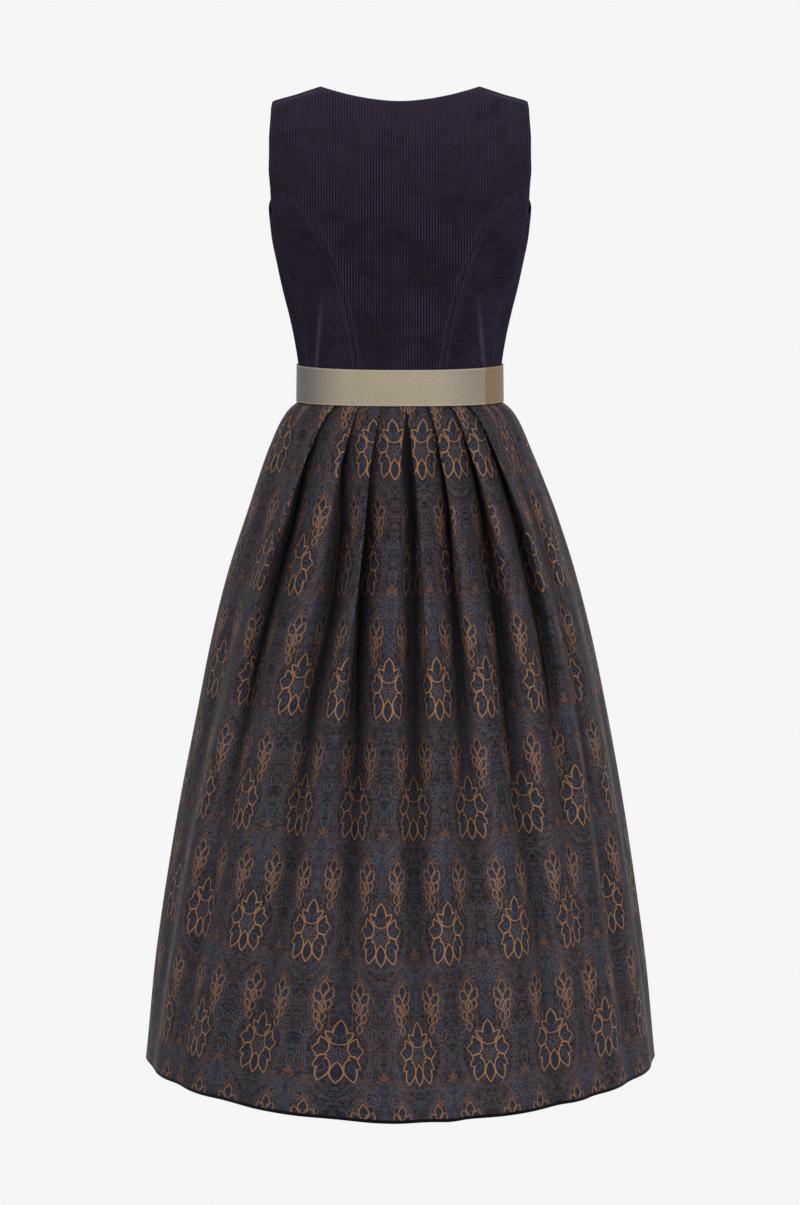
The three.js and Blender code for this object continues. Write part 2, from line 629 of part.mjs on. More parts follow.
// ---- The dress ----------------------------------------------------------------------------------
const CORDUROY = { color: 0x2a2233, roughness: 0.95, metalness: 0 };
const BROCADE = { color: 0x35343f, roughness: 0.6, metalness: 0.05 };
const RIBBON = { color: 0x9c8f78, roughness: 0.45, metalness: 0 };
const RIBBON_END = { color: 0x7d6848, roughness: 0.5, metalness: 0 };
const sideBackRight = sideBack();
const sideFrontRight = sideFront();
const frontRight = centreFront();
const PIECES = [
  ["bodice_back", centreBack(), CORDUROY],
  ["bodice_side_back_left", mirrored(sideBackRight), CORDUROY],
  ["bodice_side_back_right", sideBackRight, CORDUROY],
  ["bodice_side_front_left", mirrored(sideFrontRight), CORDUROY],
  ["bodice_side_front_right", sideFrontRight, CORDUROY],
  ["bodice_front_left", mirrored(frontRight), CORDUROY],
  ["bodice_front_right", frontRight, CORDUROY],
  ["skirt_front_left", skirtPanel(0, LEFT_SIDE, FRONT_FACE_POINTS), BROCADE],
  ["skirt_back", skirtPanel(LEFT_SIDE, RIGHT_SIDE, BACK_FACE_POINTS), BROCADE],
  ["skirt_front_right", skirtPanel(RIGHT_SIDE, FOLD_COUNT, FRONT_FACE_POINTS), BROCADE],
  ["belt_band", beltStrip(BELT_JOIN + JOIN_GAP, 360 + BELT_UPPER_END, 62, true), RIBBON],
  ["belt_end", beltStrip(BELT_UNDER_END, BELT_JOIN - JOIN_GAP, 18, false), RIBBON_END],
];

const dirndl = new THREE.Group();
for (const [name, geometry, finish] of PIECES) {
  const mesh = new THREE.Mesh(geometry, new THREE.MeshStandardMaterial(finish));
  mesh.name = name;
  dirndl.add(mesh);
}

export default dirndl;
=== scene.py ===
# %% [markdown]
# # A sleeveless dirndl, seen from behind
#
# This lesson dresses one garment: a corduroy bodice cut in seven panels, a brocade skirt whose knife
# pleats open into soft waves, and a ribbon belt with a darker end piece. Every piece is worked out
# from its sizes with numpy and then handed to Blender as a mesh, because cloth that is sewn from a
# pattern is easier to describe by rows of measurements than by pushing points by hand. The materials
# are built from nodes, so they have no picture in them and stay sharp at any distance.

# %% Set up
import math

import bpy
import numpy as np
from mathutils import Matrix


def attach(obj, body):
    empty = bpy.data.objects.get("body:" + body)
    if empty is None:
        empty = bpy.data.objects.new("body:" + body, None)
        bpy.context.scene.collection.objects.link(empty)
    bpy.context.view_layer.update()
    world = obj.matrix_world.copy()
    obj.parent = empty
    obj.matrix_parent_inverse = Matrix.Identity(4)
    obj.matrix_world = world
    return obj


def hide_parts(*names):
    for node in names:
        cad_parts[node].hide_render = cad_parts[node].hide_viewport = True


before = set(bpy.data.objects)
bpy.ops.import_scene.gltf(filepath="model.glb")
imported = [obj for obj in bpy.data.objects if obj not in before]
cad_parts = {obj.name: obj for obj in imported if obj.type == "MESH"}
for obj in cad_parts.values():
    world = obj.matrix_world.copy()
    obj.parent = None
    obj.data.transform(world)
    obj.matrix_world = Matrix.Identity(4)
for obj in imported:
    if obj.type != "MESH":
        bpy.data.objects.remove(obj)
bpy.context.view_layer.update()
MM = 0.001  # the sizes below are in millimetres, as on a cutting table

# %% [markdown]
# ## The camera first
#
# The dress is seen from behind, from a little above the shoulders and far enough away that the
# back looks almost flat. A long lens does that. The camera looks down by about eight and a half
# degrees, which is what makes the hem and the belt curve.

# %% Camera
camera = bpy.data.objects.new("camera", bpy.data.cameras.new("camera"))
bpy.context.scene.collection.objects.link(camera)
camera.location = (0, -4.2, -0.0714)
camera.rotation_euler = (math.radians(90 - 8.512), 0, 0)
camera.data.sensor_fit = "VERTICAL"
camera.data.sensor_height = 36
camera.data.lens = 36 * 3090.3 / 1205
camera.data.clip_end = 200
bpy.context.scene.camera = camera
print("lens in mm:", round(camera.data.lens, 1))

# %% [markdown]
# ## Reading a table of sizes
#
# A garment's form is a list of sections: how wide and how deep it is at each height. Between two
# rows of such a table the cloth takes a smooth curve, but it must never bulge past the sizes that
# were written down. A monotone cubic curve keeps that promise, so it is used for every table here.

# %% Tables and how to read them
def table(heads, rows):
    return {head: np.array(column, float) for head, column in zip(heads.split(), zip(*rows))}


def read(sizes, column, z):
    """One column of a table at heights z, where the rows run from the top down."""
    at, value = sizes["z"][::-1], sizes[column][::-1]
    chord = np.diff(value) / np.diff(at)
    mean = (chord[:-1] + chord[1:]) / 2
    gentle = np.minimum(np.abs(mean), 2 * np.minimum(np.abs(chord[:-1]), np.abs(chord[1:])))
    inner = np.where(chord[:-1] * chord[1:] > 0, np.sign(mean) * gentle, 0)
    slope = np.concatenate([chord[:1], inner, chord[-1:]])
    z = np.clip(z, at[0], at[-1])
    i = np.clip(np.searchsorted(at, z, side="right") - 1, 0, len(at) - 2)
    span = at[i + 1] - at[i]
    t = (z - at[i]) / span
    return (value[i] * (1 + 2 * t) * (1 - t) ** 2 + value[i + 1] * t * t * (3 - 2 * t)
            + span * t * (1 - t) * (slope[i] * (1 - t) - slope[i + 1] * t))


def smoothstep(value, low, high):
    t = np.clip((np.asarray(value, float) - low) / (high - low), 0, 1)
    return t * t * (3 - 2 * t)


# Half width, and depth behind and in front of the shoulder seams.
BODICE = table("z half back front", [
    (0, 107, 34, 34), (-10, 137.5, 42, 42), (-21, 172, 50, 50), (-40, 183, 60, 60), (-70, 189.5, 72, 74),
    (-100, 190.5, 81, 86), (-135, 183.5, 87, 97), (-172, 176, 89.5, 106), (-205, 172, 89, 109),
    (-237, 165.5, 87, 107), (-270, 158.5, 84, 102), (-302, 150.5, 82, 97), (-334, 143.5, 81, 93),
    (-372, 137.6, 81, 90), (-404, 136, 81, 89),
])
# The armhole's edge, and the princess seams, as distances from the centre line.
ARMHOLE = table("z back front", [
    (-21, 172, 172), (-50, 173.5, 166), (-85, 175, 161), (-110, 175, 162), (-133, 174, 166),
])
BACK_PRINCESS = table("z x", [
    (-133, 174), (-141, 148), (-160, 129), (-183, 113), (-237, 88), (-303, 69), (-345, 61), (-404, 57),
])
FRONT_PRINCESS = table("z x", [
    (-133, 166), (-146, 141), (-175, 116), (-225, 95), (-290, 80), (-345, 66), (-404, 58),
])
SIDE_SEAM = table("z bearing", [(-172, 76), (-237, 69), (-303, 62), (-404, 57)])
BACK_WALE_LINE = table("z x", [(-133, 137), (-404, 84)])  # one wale of the side back, from top to waist
print("bodice half width at the chest in mm:", float(read(BODICE, "half", -172)))

# %% [markdown]
# ## Rounded sections
#
# Seen from above, a worn bodice is rounder than a box and squarer than an ellipse. A superellipse
# with a power of 2.3 gives that, and one bearing, measured from the centre back, finds any point on
# it. The front has a soft fullness that the two princess seams shape.

# %% The bodice's surface
def signed_power(value, power):
    return np.sign(value) * np.abs(value) ** power


def on_section(bearing, z, half, back, front, power):
    depth = np.where(np.cos(bearing) > 0, back, front)
    x = half * signed_power(np.sin(bearing), 2 / power)
    y = -depth * signed_power(np.cos(bearing), 2 / power)
    return np.stack(np.broadcast_arrays(x, y, z), -1)


BODICE_POWER = 2.3
BUST = {"x": 82, "z": -218, "rise": 13, "reach_x": 56, "reach_z": 64}


def bodice_point(bearing, z):
    half, back, front = (read(BODICE, column, z) for column in ("half", "back", "front"))
    point = on_section(bearing, z, half, back, front, BODICE_POWER)
    across = (np.abs(point[..., 0]) - BUST["x"]) / BUST["reach_x"]
    along = (z - BUST["z"]) / BUST["reach_z"]
    fade = np.clip(point[..., 1] / 40, 0, 1)
    point[..., 1] += BUST["rise"] * np.exp(-across**2 - along**2) * fade
    return point


def bodice_normal(bearing, z):
    across = bodice_point(bearing + 0.004, z) - bodice_point(bearing - 0.004, z)
    up = bodice_point(bearing, z + 0.3) - bodice_point(bearing, z - 0.3)
    normal = np.cross(across, up)
    return normal / np.linalg.norm(normal, axis=-1, keepdims=True)


def bearing_at(x, z, front):
    """The bearing at which the section reaches a distance from the centre line."""
    share = np.clip(np.abs(x) / read(BODICE, "half", z), 0, 1)
    turned = np.minimum(np.arcsin(share ** (BODICE_POWER / 2)), math.radians(89.9))
    return np.where(x < 0, -1, 1) * (math.pi - turned if front else turned)


def girth(start, bearing, z):
    """How far it is round the bodice at one height, from one bearing to another."""
    steps = np.linspace(0, 1, 25)[:, None]
    spots = bodice_point(start + (bearing - start) * steps, np.broadcast_to(z, bearing.shape) + 0 * steps)
    return np.linalg.norm(np.diff(spots, axis=0), axis=-1).sum(0)


print("half of the waist's girth in mm:", float(girth(0.0, np.array([math.pi - 1e-3]), np.array([-390.0]))[0]))

# %% [markdown]
# ## From rows of points to a sheet of cloth
#
# Cloth has two faces and a thin edge. Each piece is given as rows of outer points and rows of inner
# points, and the edge closes them. Rows may hold different numbers of points, because a panel is
# wide at the chest and narrow at the waist while its wales keep their distance. Every point has a
# key that says how far along the row it lies, and rows are joined key by key: four-sided faces where
# the keys agree, and a three-sided one where a wale runs out into the seam.

# %% Joining rows into a mesh
def stitch(lower, upper):
    """lower and upper are (numbers, keys)."""
    (low, low_key), (up, up_key) = lower, upper
    faces, i, j = [], 0, 0
    while i < len(low) - 1 or j < len(up) - 1:
        more_low, more_up = i < len(low) - 1, j < len(up) - 1
        if (more_low and more_up and abs(low_key[i + 1] - up_key[j + 1]) < 1e-6
                and abs(low_key[i] - up_key[j]) < 1e-6):
            faces.append((low[i], low[i + 1], up[j + 1], up[j]))
            i, j = i + 1, j + 1
        elif not more_up or (more_low and low_key[i + 1] + low_key[i] <= up_key[j + 1] + up_key[j]):
            faces.append((low[i], low[i + 1], up[j]))
            i += 1
        else:
            faces.append((low[i], up[j + 1], up[j]))
            j += 1
    return faces


def grow(rows, points, facts):
    numbered = []
    for row in rows:
        start = sum(len(p) for p in points)
        points.append(row["point"])
        facts.append(row["cloth"])
        numbered.append((list(range(start, start + len(row["point"]))), list(row["key"])))
    return numbered


def cloth_mesh(name, outer_rows, inner_rows, mirror=False):
    """A closed thin wall, with each point's place on the flat cloth kept in the attribute cloth."""
    points, facts = [], []
    outer, inner = grow(outer_rows, points, facts), grow(inner_rows, points, facts)
    points, facts = np.concatenate(points) * MM, np.concatenate(facts) * MM
    back = lambda faces: [face[::-1] for face in faces]
    skin, rim = [], []
    for low, up in zip(outer, outer[1:]):
        skin += stitch(low, up)
    for low, up in zip(inner, inner[1:]):
        skin += back(stitch(low, up))
    share = (len(outer) - 1) // (len(inner) - 1)
    for side in (0, -1):
        edge = ([low[0][side] for low in outer], list(range(len(outer))))
        lining = ([low[0][side] for low in inner], [k * share for k in range(len(inner))])
        rim += stitch(edge, lining) if side else back(stitch(edge, lining))
    rim += back(stitch(outer[0], inner[0])) + stitch(outer[-1], inner[-1])
    faces = skin + rim
    if mirror:
        points, facts = points * (-1, 1, 1), facts * (-1, 1, 1)
        faces = back(faces)
    mesh = bpy.data.meshes.new(name)
    mesh.from_pydata(points.tolist(), [], faces)
    mesh.attributes.new("cloth", "FLOAT_VECTOR", "POINT").data.foreach_set("vector", facts[:, :3].ravel())
    # A fourth number, where the rows have one, is the painted shade at the bottom of the folds.
    if facts.shape[1] > 3:
        mesh.attributes.new("painted_fold_shade", "FLOAT", "POINT").data.foreach_set("value", facts[:, 3])
    smooth = np.arange(len(faces)) < len(skin)
    mesh.polygons.foreach_set("use_smooth", smooth)
    piece = bpy.data.objects.new(name, mesh)
    bpy.context.scene.collection.objects.link(piece)
    return piece


def row_of(point, key, cloth):
    return {"point": np.asarray(point), "key": np.asarray(key), "cloth": np.asarray(cloth)}


print("one square of cloth:", stitch(([0, 1], [0, 1]), ([2, 3], [0, 1])))

# %% [markdown]
# ## Corduroy
#
# Corduroy has wales: soft ribs of cut pile that run the length of the cloth, here 3.9 mm apart. They
# are wide enough to see from a few steps away, so they are real shape and not only shading. A wale
# is round on top with a narrow groove beside it, six points to a wale. Where a panel is sewn to the
# next one the cloth dips into the seam. The pile is flat where an edge is turned in at the top, and
# where the belt presses on it. Each point also remembers how much painted highlight it gets: a lighter
# strip beside each seam and along the crease, where the pile catches the light.

# %% A row of corduroy
WALE_PITCH, WALE_HEIGHT, POINTS_TO_A_WALE = 3.9, 0.75, 6
CORDUROY_THICK, SEAM_GAP = 1.5, 0.02
CREASE = {"across": 2.5, "at": -303, "slant": 0.33, "reach": 2.8, "rise": 0.9, "fade": (-265, -325)}


def crease(across, height):
    """The soft upright crease in each side back, above the belt."""
    line_at = CREASE["across"] + CREASE["slant"] * (CREASE["at"] - height)
    return np.exp(-((across - line_at) / CREASE["reach"]) ** 2) * smoothstep(height, *CREASE["fade"])


def corduroy_row(bearing, z, across, top_gap, inner_count, creased=False):
    """A panel's row: its curve as samples of bearing, height and distance across the wales."""
    def spot(at, lift):
        b, h = np.interp(at, across, bearing), np.interp(at, across, z)
        return bodice_point(b, h) + bodice_normal(b, h) * lift(h)[:, None], h

    first, last = across[0] + SEAM_GAP / 2, across[-1] - SEAM_GAP / 2
    step = WALE_PITCH / POINTS_TO_A_WALE
    marks = np.arange(math.ceil(first / step + 0.5), math.floor(last / step - 0.5) + 1) * step
    at = np.concatenate([[first], marks, [last]])
    to_seam = np.minimum(at - first, last - at)
    to_top = np.interp(at, across, top_gap)
    rib = (1 - np.abs(np.cos(np.pi * at / WALE_PITCH)) ** 2.6) * smoothstep(to_top, 0.5, 5)
    dip = 0.3 * np.exp(-to_seam / 1.4) + 0.25 * np.exp(-to_top / 1.4)
    dip -= 0.2 * np.exp(-((to_seam - 5) / 3) ** 2)
    fold = crease if creased else lambda a, h: 0 * a
    outer, height = spot(at, lambda h: (
        WALE_HEIGHT * rib * smoothstep(h, -395, -365) - dip + CREASE["rise"] * fold(at, h)))
    inner_at = np.linspace(first, last, inner_count)
    inner, inner_height = spot(inner_at, lambda h: -CORDUROY_THICK + 0 * h)
    # the third number is painted highlight: a strip beside each seam, and along the crease
    beside = lambda a: 0.2 * np.exp(-((np.minimum(a - first, last - a) - 4.5) / 2.2) ** 2)
    cloth = lambda a, h: np.stack([a, h, beside(a) + fold(a, h)], -1)
    return row_of(outer, at, cloth(at, height)), row_of(inner, inner_at, cloth(inner_at, inner_height))


print("wales across the waist of one side back:", round(float(girth(
    bearing_at(np.array(57.0), -400.0, False), np.radians([57.0]), np.array([-400.0]))[0] / WALE_PITCH)))

# %% [markdown]
# ## Cutting the bodice
#
# The centre back is one panel from shoulder to waist, with the neckline cut into its top. Curved
# princess seams run from the armholes to the waist and shape the back, and two side panels close
# each side. The front has the same seams, a deep scoop and an opening down the middle. The panels
# share their rows' heights at the seams, so neighbours meet edge to edge.

# %% Heights and edges of the bodice
NECK_HALF, SHOULDER_DROP, UNDERARM, YOKE = 107, 21, -172, -133
WAIST = -403
WAIST_EDGE = WAIST + SEAM_GAP / 2
LOWER = np.linspace(0, 1, 41)
UPPER = np.linspace(0, 1, 15)[1:]
CURL = 80  # how sharply the row turns down over the shoulder, past the neckline's end


def height_at(top, share):
    return WAIST_EDGE + (top - WAIST_EDGE) * share


def upper_edge(x, front):
    """The neckline, then the shoulder seam, above a distance from the centre line."""
    share = np.clip(x / NECK_HALF, 0, 1)
    neck = -140 * np.sqrt(1 - share**2) if front else -20 * (1 - share**1.8)
    heights = np.linspace(0, -SHOULDER_DROP, 120)
    shoulder = np.interp(x, read(BODICE, "half", heights), heights)
    return np.where(x <= NECK_HALF, neck, shoulder)


def centre_rows(front):
    seam, side = (FRONT_PRINCESS, "front") if front else (BACK_PRINCESS, "back")
    low = height_at(YOKE, LOWER)
    arm = YOKE + (-SHOULDER_DROP - YOKE) * UPPER
    edge_z = np.concatenate([low, arm])
    edge_x = np.concatenate([read(seam, "x", low), read(ARMHOLE, side, arm)])
    share = (edge_z - WAIST_EDGE) / (upper_edge(edge_x, front) - WAIST_EDGE)
    return list(zip(edge_x, np.minimum(share, 1)))


def centre_panel(name, front, mirror=False):
    outer, inner = [], []
    for edge_x, share in centre_rows(front):
        t = np.linspace(0, 1, 181) if front else np.linspace(-1, 1, 361)
        past = edge_x > NECK_HALF
        full = math.pi / 2 + (edge_x - NECK_HALF) / CURL if past else math.asin(edge_x / NECK_HALF)
        turn = np.abs(t) * full
        x = np.where(turn < math.pi / 2, NECK_HALF * np.sin(turn), NECK_HALF + CURL * (turn - math.pi / 2))
        top = upper_edge(x, front)
        z = height_at(top, share)
        bearing = bearing_at(x, z, front)
        across = girth(math.pi if front else 0.0, bearing, z)
        sign = np.where(t < 0, -1, 1)
        rows = corduroy_row(sign * bearing, z, sign * across, top - z, 49 if front else 97)
        outer.append(rows[0])
        inner.append(rows[1])
    return cloth_mesh(name, outer, inner[::2], mirror)


def side_panel(name, front, mirror=False):
    seam = FRONT_PRINCESS if front else BACK_PRINCESS
    outer, inner = [], []
    for share in LOWER:
        seam_z, side_z = height_at(YOKE, share), height_at(UNDERARM, share)
        start = bearing_at(np.array(read(seam, "x", seam_z)), seam_z, front)
        end = math.radians(read(SIDE_SEAM, "bearing", side_z))
        u = np.linspace(1, 0, 121) if front else np.linspace(0, 1, 121)
        bearing = start + (end - start) * u
        z = seam_z + (side_z - seam_z) * (1 - (1 - u) ** 1.5 if front else u)
        middle = (start + end) / 2 if front else bearing_at(read(BACK_WALE_LINE, "x", z), z, False)
        across = np.sign(bearing - middle) * girth(middle, bearing, z)
        top_gap = (1 - share) * (UNDERARM - WAIST_EDGE) + 0 * u
        rows = corduroy_row(bearing, z, across, top_gap, 25, not front)
        outer.append(rows[0])
        inner.append(rows[1])
    return cloth_mesh(name, outer, inner[::2], mirror)


print("neckline's depth at the centre in mm, back and front:",
      [round(float(-upper_edge(0.0, front))) for front in (False, True)])

# %% Sew the bodice
bodice = {
    "bodice_back": centre_panel("back_of_corduroy", False),
    "bodice_side_back_right": side_panel("side_back_right_of_corduroy", False),
    "bodice_side_back_left": side_panel("side_back_left_of_corduroy", False, True),
    "bodice_side_front_right": side_panel("side_front_right_of_corduroy", True),
    "bodice_side_front_left": side_panel("side_front_left_of_corduroy", True, True),
    "bodice_front_right": centre_panel("front_right_of_corduroy", True),
    "bodice_front_left": centre_panel("front_left_of_corduroy", True, True),
}
for node, piece in bodice.items():
    print(node, "faces:", len(piece.data.polygons))

# %% [markdown]
# ## The skirt's folds
#
# A dirndl skirt is straight lengths of cloth laid in knife pleats at the waist. The pleats face the
# side seams' way on both sides of an opened pleat in the middle. A hand below the waist nothing
# holds them, and they open into waves that spread and flatten towards the hem. Each fold is one row:
# whether it is pressed at the waist, its bearing and its half depth at five heights.

# %% Tables of the skirt
HEM = -1344
SKIRT = table("z half back front power sway", [
    (-403, 133, 78.6, 86.4, 2.3, 0), (-421.5, 134.5, 80, 88, 2.3, 0), (-427, 143, 87, 94, 2.28, 0),
    (-433, 150, 93, 99, 2.25, 0), (-449, 161, 102, 107, 2.2, 0), (-482, 175.5, 116, 120, 2.15, 0),
    (-531, 194, 133, 137, 2.1, 1.5), (-580, 211, 150, 153, 2.05, 3), (-650, 233.5, 174, 176, 2, 3),
    (-740, 256.5, 199, 200, 1.97, 3.5), (-850, 279, 226, 226, 1.9, 4), (-970, 302, 251, 251, 1.85, 3),
    (-1090, 322, 273, 273, 1.82, 2), (-1220, 341, 291, 291, 1.78, 1.5), (-1344, 355.5, 302, 302, 1.76, 1),
])
STATIONS = {"bearing": [-403, -600, -860, -1100, -1344], "depth": [-403, -455, -600, -860, -1100, -1344]}
BACK_FOLDS = [  # from the left side to the right hip: pressed, bearings, half depths
    (0, (-57, -63, -71, -75, -78), (0.4, 1.5, 4, 5, 5, 4)),
    (1, (-38, -45, -52, -57, -61), (1, 7, 17, 8, 5, 4)),
    (1, (-22, -21, -29, -34, -44), (1, 7, 17, 11, 7, 5)),
    (1, (-9.5, -12, -14, -16, -16.5), (1, 7, 17, 15, 9, 5)),
    (1, (2, 3.3, 3.6, 4.4, 7), (1, 7, 14, 12, 9, 4)),
    (1, (15.3, 14.8, 17, 18, 18), (1, 7, 13, 10, 7, 5)),
    (1, (29, 30, 32, 36.5, 39), (1, 7, 17, 12, 8, 5)),
    (1, (41, 46, 48, 49, 50), (1, 7, 16, 8, 4, 3)),
    (0, (57, 59, 61, 62, 64), (0.4, 1.5, 4, 6, 6, 4)),
    (0, (75, 77, 80, 82, 83), (0.3, 0.6, 1.5, 3, 4, 4)),
]
FRONT_FOLDS = [  # from the centre front towards one side
    (1, (0, 0, 0, 0, 0), (1, 7, 12, 10, 7, 4)),
    (1, (13, 13.5, 15, 16.5, 18), (1, 7, 16, 12, 8, 5)),
    (1, (26, 28, 31, 34, 36), (1, 7, 16, 11, 7, 5)),
    (1, (40, 44, 48, 52, 54), (1, 7, 15, 8, 5, 4)),
    (0, (57, 60, 65, 69, 72), (0.4, 1.5, 4, 5, 5, 4)),
]
PLEAT_FALL = table("z pressed lean", [
    (-403, 1, 5), (-424, 1, 6), (-440, 0.8, 9), (-470, 0.4, 12), (-520, 0.1, 11.5), (-600, 0, 10),
    (-700, 0, 8), (-860, 0, 4), (-1100, 0, 1), (-1344, 0, 0),
])
PLEAT_TUCK, PLEAT_LAYER, WAVE_SHARPNESS, BROCADE_THICK = 10, 1.95, 1.4, 1.0
KNIFE_PLEAT = [  # share of a fold, tucks along, layers out
    (-0.44, -0.75, 1), (-0.34, 0.5, 1), (-0.26, 0.5, 0), (-0.12, -0.5, 0), (-0.04, -0.5, -1),
    (0.06, 0.75, -1),
]


def all_folds():
    """Every fold round the dress, numbered by bearing from the centre front."""
    turned = lambda fold, sign, centre, way: {
        "pressed": fold[0], "way": way, "depth": np.array(fold[2], float),
        "bearing": centre + sign * np.array(fold[1], float)}
    front = [turned(fold, 1, -180, -1 if k else 0) for k, fold in enumerate(FRONT_FOLDS)]
    back = [turned(fold, 1, 0, (k < 4) - (k > 4)) for k, fold in enumerate(BACK_FOLDS)]
    rest = [turned(fold, -1, 180, 1) for fold in FRONT_FOLDS[:0:-1]]
    return front + back + rest


FOLDS = all_folds()
COUNT = len(FOLDS)
LEFT_SIDE = len(FRONT_FOLDS) - 0.5
RIGHT_SIDE = LEFT_SIDE + len(BACK_FOLDS)
print("folds round the skirt:", COUNT)

# %% [markdown]
# ## The cloth between the folds
#
# A place counts folds: every whole number is the bottom of one valley. Near the waist the cloth is
# the pressed zigzag of a knife pleat, further down a wave, and in between a blend of the two. Every
# row is worked out at once for all its places, which keeps the skirt quick to make.

# %% The middle of the cloth at one height
def fold_values(column, z):
    spread = {"z": np.array(STATIONS[column], float)}
    return np.array([read({**spread, "value": fold[column]}, "value", z) for fold in FOLDS])


def between(values, place, lap):
    i = np.floor(place).astype(int)
    t = place - i
    a, b, c, d = (values[(i + k) % COUNT] + lap * ((i + k) // COUNT) for k in (-1, 0, 1, 2))
    return b + 0.5 * t * (c - a + t * (2 * a - 5 * b + 4 * c - d + t * (3 * (b - c) + d - a)))


def pleat_corners(index):
    """Corners of one pressed pleat as (fold, place, along, out)."""
    fold = FOLDS[index % COUNT]
    facing = lambda corner, side, shift: (
        index, index + side * corner[0], fold["pressed"] * side * PLEAT_TUCK * (corner[1] + shift),
        fold["pressed"] * PLEAT_LAYER * corner[2])
    if fold["way"]:
        corners = [facing(corner, fold["way"], 0) for corner in KNIFE_PLEAT]
        return corners if fold["way"] > 0 else corners[::-1]
    left = [facing(corner, 1, -0.58) for corner in KNIFE_PLEAT[:-1]]
    return left + [facing(corner, -1, -0.58) for corner in KNIFE_PLEAT[:-1]][::-1]


CORNERS = np.array([corner for index in range(-2, COUNT + 3) for corner in pleat_corners(index)])


def lean_way(place):
    turns = np.array([0, LEFT_SIDE, (LEFT_SIDE + RIGHT_SIDE) / 2 - 0.5, RIGHT_SIDE, COUNT])
    ways = np.array([-1, 1, -1, 1])
    k = np.clip(np.searchsorted(turns, place, side="right") - 1, 0, 3)
    nearest = np.abs(place[:, None] - turns).min(1)
    return ways[k] * np.minimum(1, 2 * nearest)


def outward_of(point, sec):
    depth = np.where(point[:, 1] < 0, sec["back"], sec["front"])
    out = np.stack([signed_power(point[:, 0] / sec["half"], sec["power"] - 1) / sec["half"],
                    signed_power(point[:, 1] / depth, sec["power"] - 1) / depth,
                    np.zeros(len(point))], -1)
    return out / np.linalg.norm(out, axis=1, keepdims=True)


def slide(point, length, sec):
    out = outward_of(point, sec)
    moved = point + np.stack([-out[:, 1], out[:, 0], 0 * out[:, 0]], -1) * length[:, None]
    depth = np.where(moved[:, 1] < 0, sec["back"], sec["front"])
    size = np.abs(moved[:, 0] / sec["half"]) ** sec["power"] + np.abs(moved[:, 1] / depth) ** sec["power"]
    moved[:, :2] *= (size ** (-1 / sec["power"]))[:, None]
    return moved


def skirt_middle(place, z):
    sec = {column: float(read(SKIRT, column, z)) for column in ("half", "back", "front", "power")}
    flat = float(read(PLEAT_FALL, "pressed", z))
    bearings, depths = fold_values("bearing", z), fold_values("depth", z)
    free = between(bearings, place, 360)
    index = CORNERS[:, 0].astype(int)
    own = bearings[index % COUNT] + 360 * (index // COUNT)
    pressed = np.array([FOLDS[i % COUNT]["pressed"] for i in index])
    corner_bearing = (1 - pressed) * between(bearings, CORNERS[:, 1], 360) + pressed * own
    held = np.interp(place, CORNERS[:, 1], corner_bearing)
    along = np.interp(place, CORNERS[:, 1], CORNERS[:, 2])
    layer = np.interp(place, CORNERS[:, 1], CORNERS[:, 3])
    depth = between(depths, place, 0) * (1 - 0.5 * float(smoothstep(-z, 1180, 1340)))
    wave = 1 - 2 * np.abs(np.cos(np.pi * place)) ** (2 * WAVE_SHARPNESS)
    lean = lean_way(place) * float(read(PLEAT_FALL, "lean", z)) * wave * np.minimum(1, depth / 6)
    bearing = np.radians(free + (held - free) * flat)
    start = on_section(bearing, np.full(len(place), float(z)), **sec)
    point = slide(start, lean + (along - lean) * flat, sec)
    point = point + outward_of(point, sec) * (depth * wave + (layer - depth * wave) * flat)[:, None]
    return point + np.array([float(read(SKIRT, "sway", z)), 0, 0])


print("hem, all round in mm:", round(float(np.linalg.norm(
    np.diff(skirt_middle(np.linspace(0, COUNT, 951), HEM), axis=0), axis=1).sum())))

# %% [markdown]
# ## Where each thread runs
#
# The brocade's pattern was woven before the cloth was pleated, so it must run straight down each
# face and vanish into the folds. That means every point has to know its place on the flat cloth.
# Across the skirt the place is the distance along the cloth, at its true scale on the faces. What the
# pleats swallow is taken up where a nearer fold hides the cloth, and only the rest is spread evenly
# over the face. Down the skirt the place is the distance from the waist.

# %% Places on the flat cloth
TO_A_FOLD = 50  # points from one valley to the next
HALF = TO_A_FOLD // 2
PLACES = np.arange(0, COUNT * TO_A_FOLD + 1) / TO_A_FOLD
TOP_FALL = -403.15
HEIGHTS = TOP_FALL + (HEM - TOP_FALL) * np.linspace(0, 1, 111) ** 1.2


def length_along(point):
    return np.concatenate([[0], np.cumsum(np.linalg.norm(np.diff(point, axis=0), axis=1))])


REFERENCE = length_along(skirt_middle(PLACES, -1030))


EYE_AWAY = 4200
SIGHTS, SIGHTS_A_RADIAN = 8000, 9000  # a fan of narrow lines of sight, counted from one side


def hidden_from(point, eye_y):
    """1 where a nearer part of the same row stands before a point, seen from far in front or behind."""
    away = np.abs(point[:, 1] - eye_y)
    sight = point[:, 0] / away * SIGHTS_A_RADIAN
    steps = np.arange(len(point))
    fine = np.linspace(0, len(point) - 1, 8 * len(point))
    nearest = np.full(SIGHTS, np.inf)
    number = lambda sights: sights.round().astype(int) + SIGHTS // 2
    np.minimum.at(nearest, number(np.interp(fine, steps, sight)), np.interp(fine, steps, away))
    return (away > nearest[number(sight)] + 1.2).astype(float)


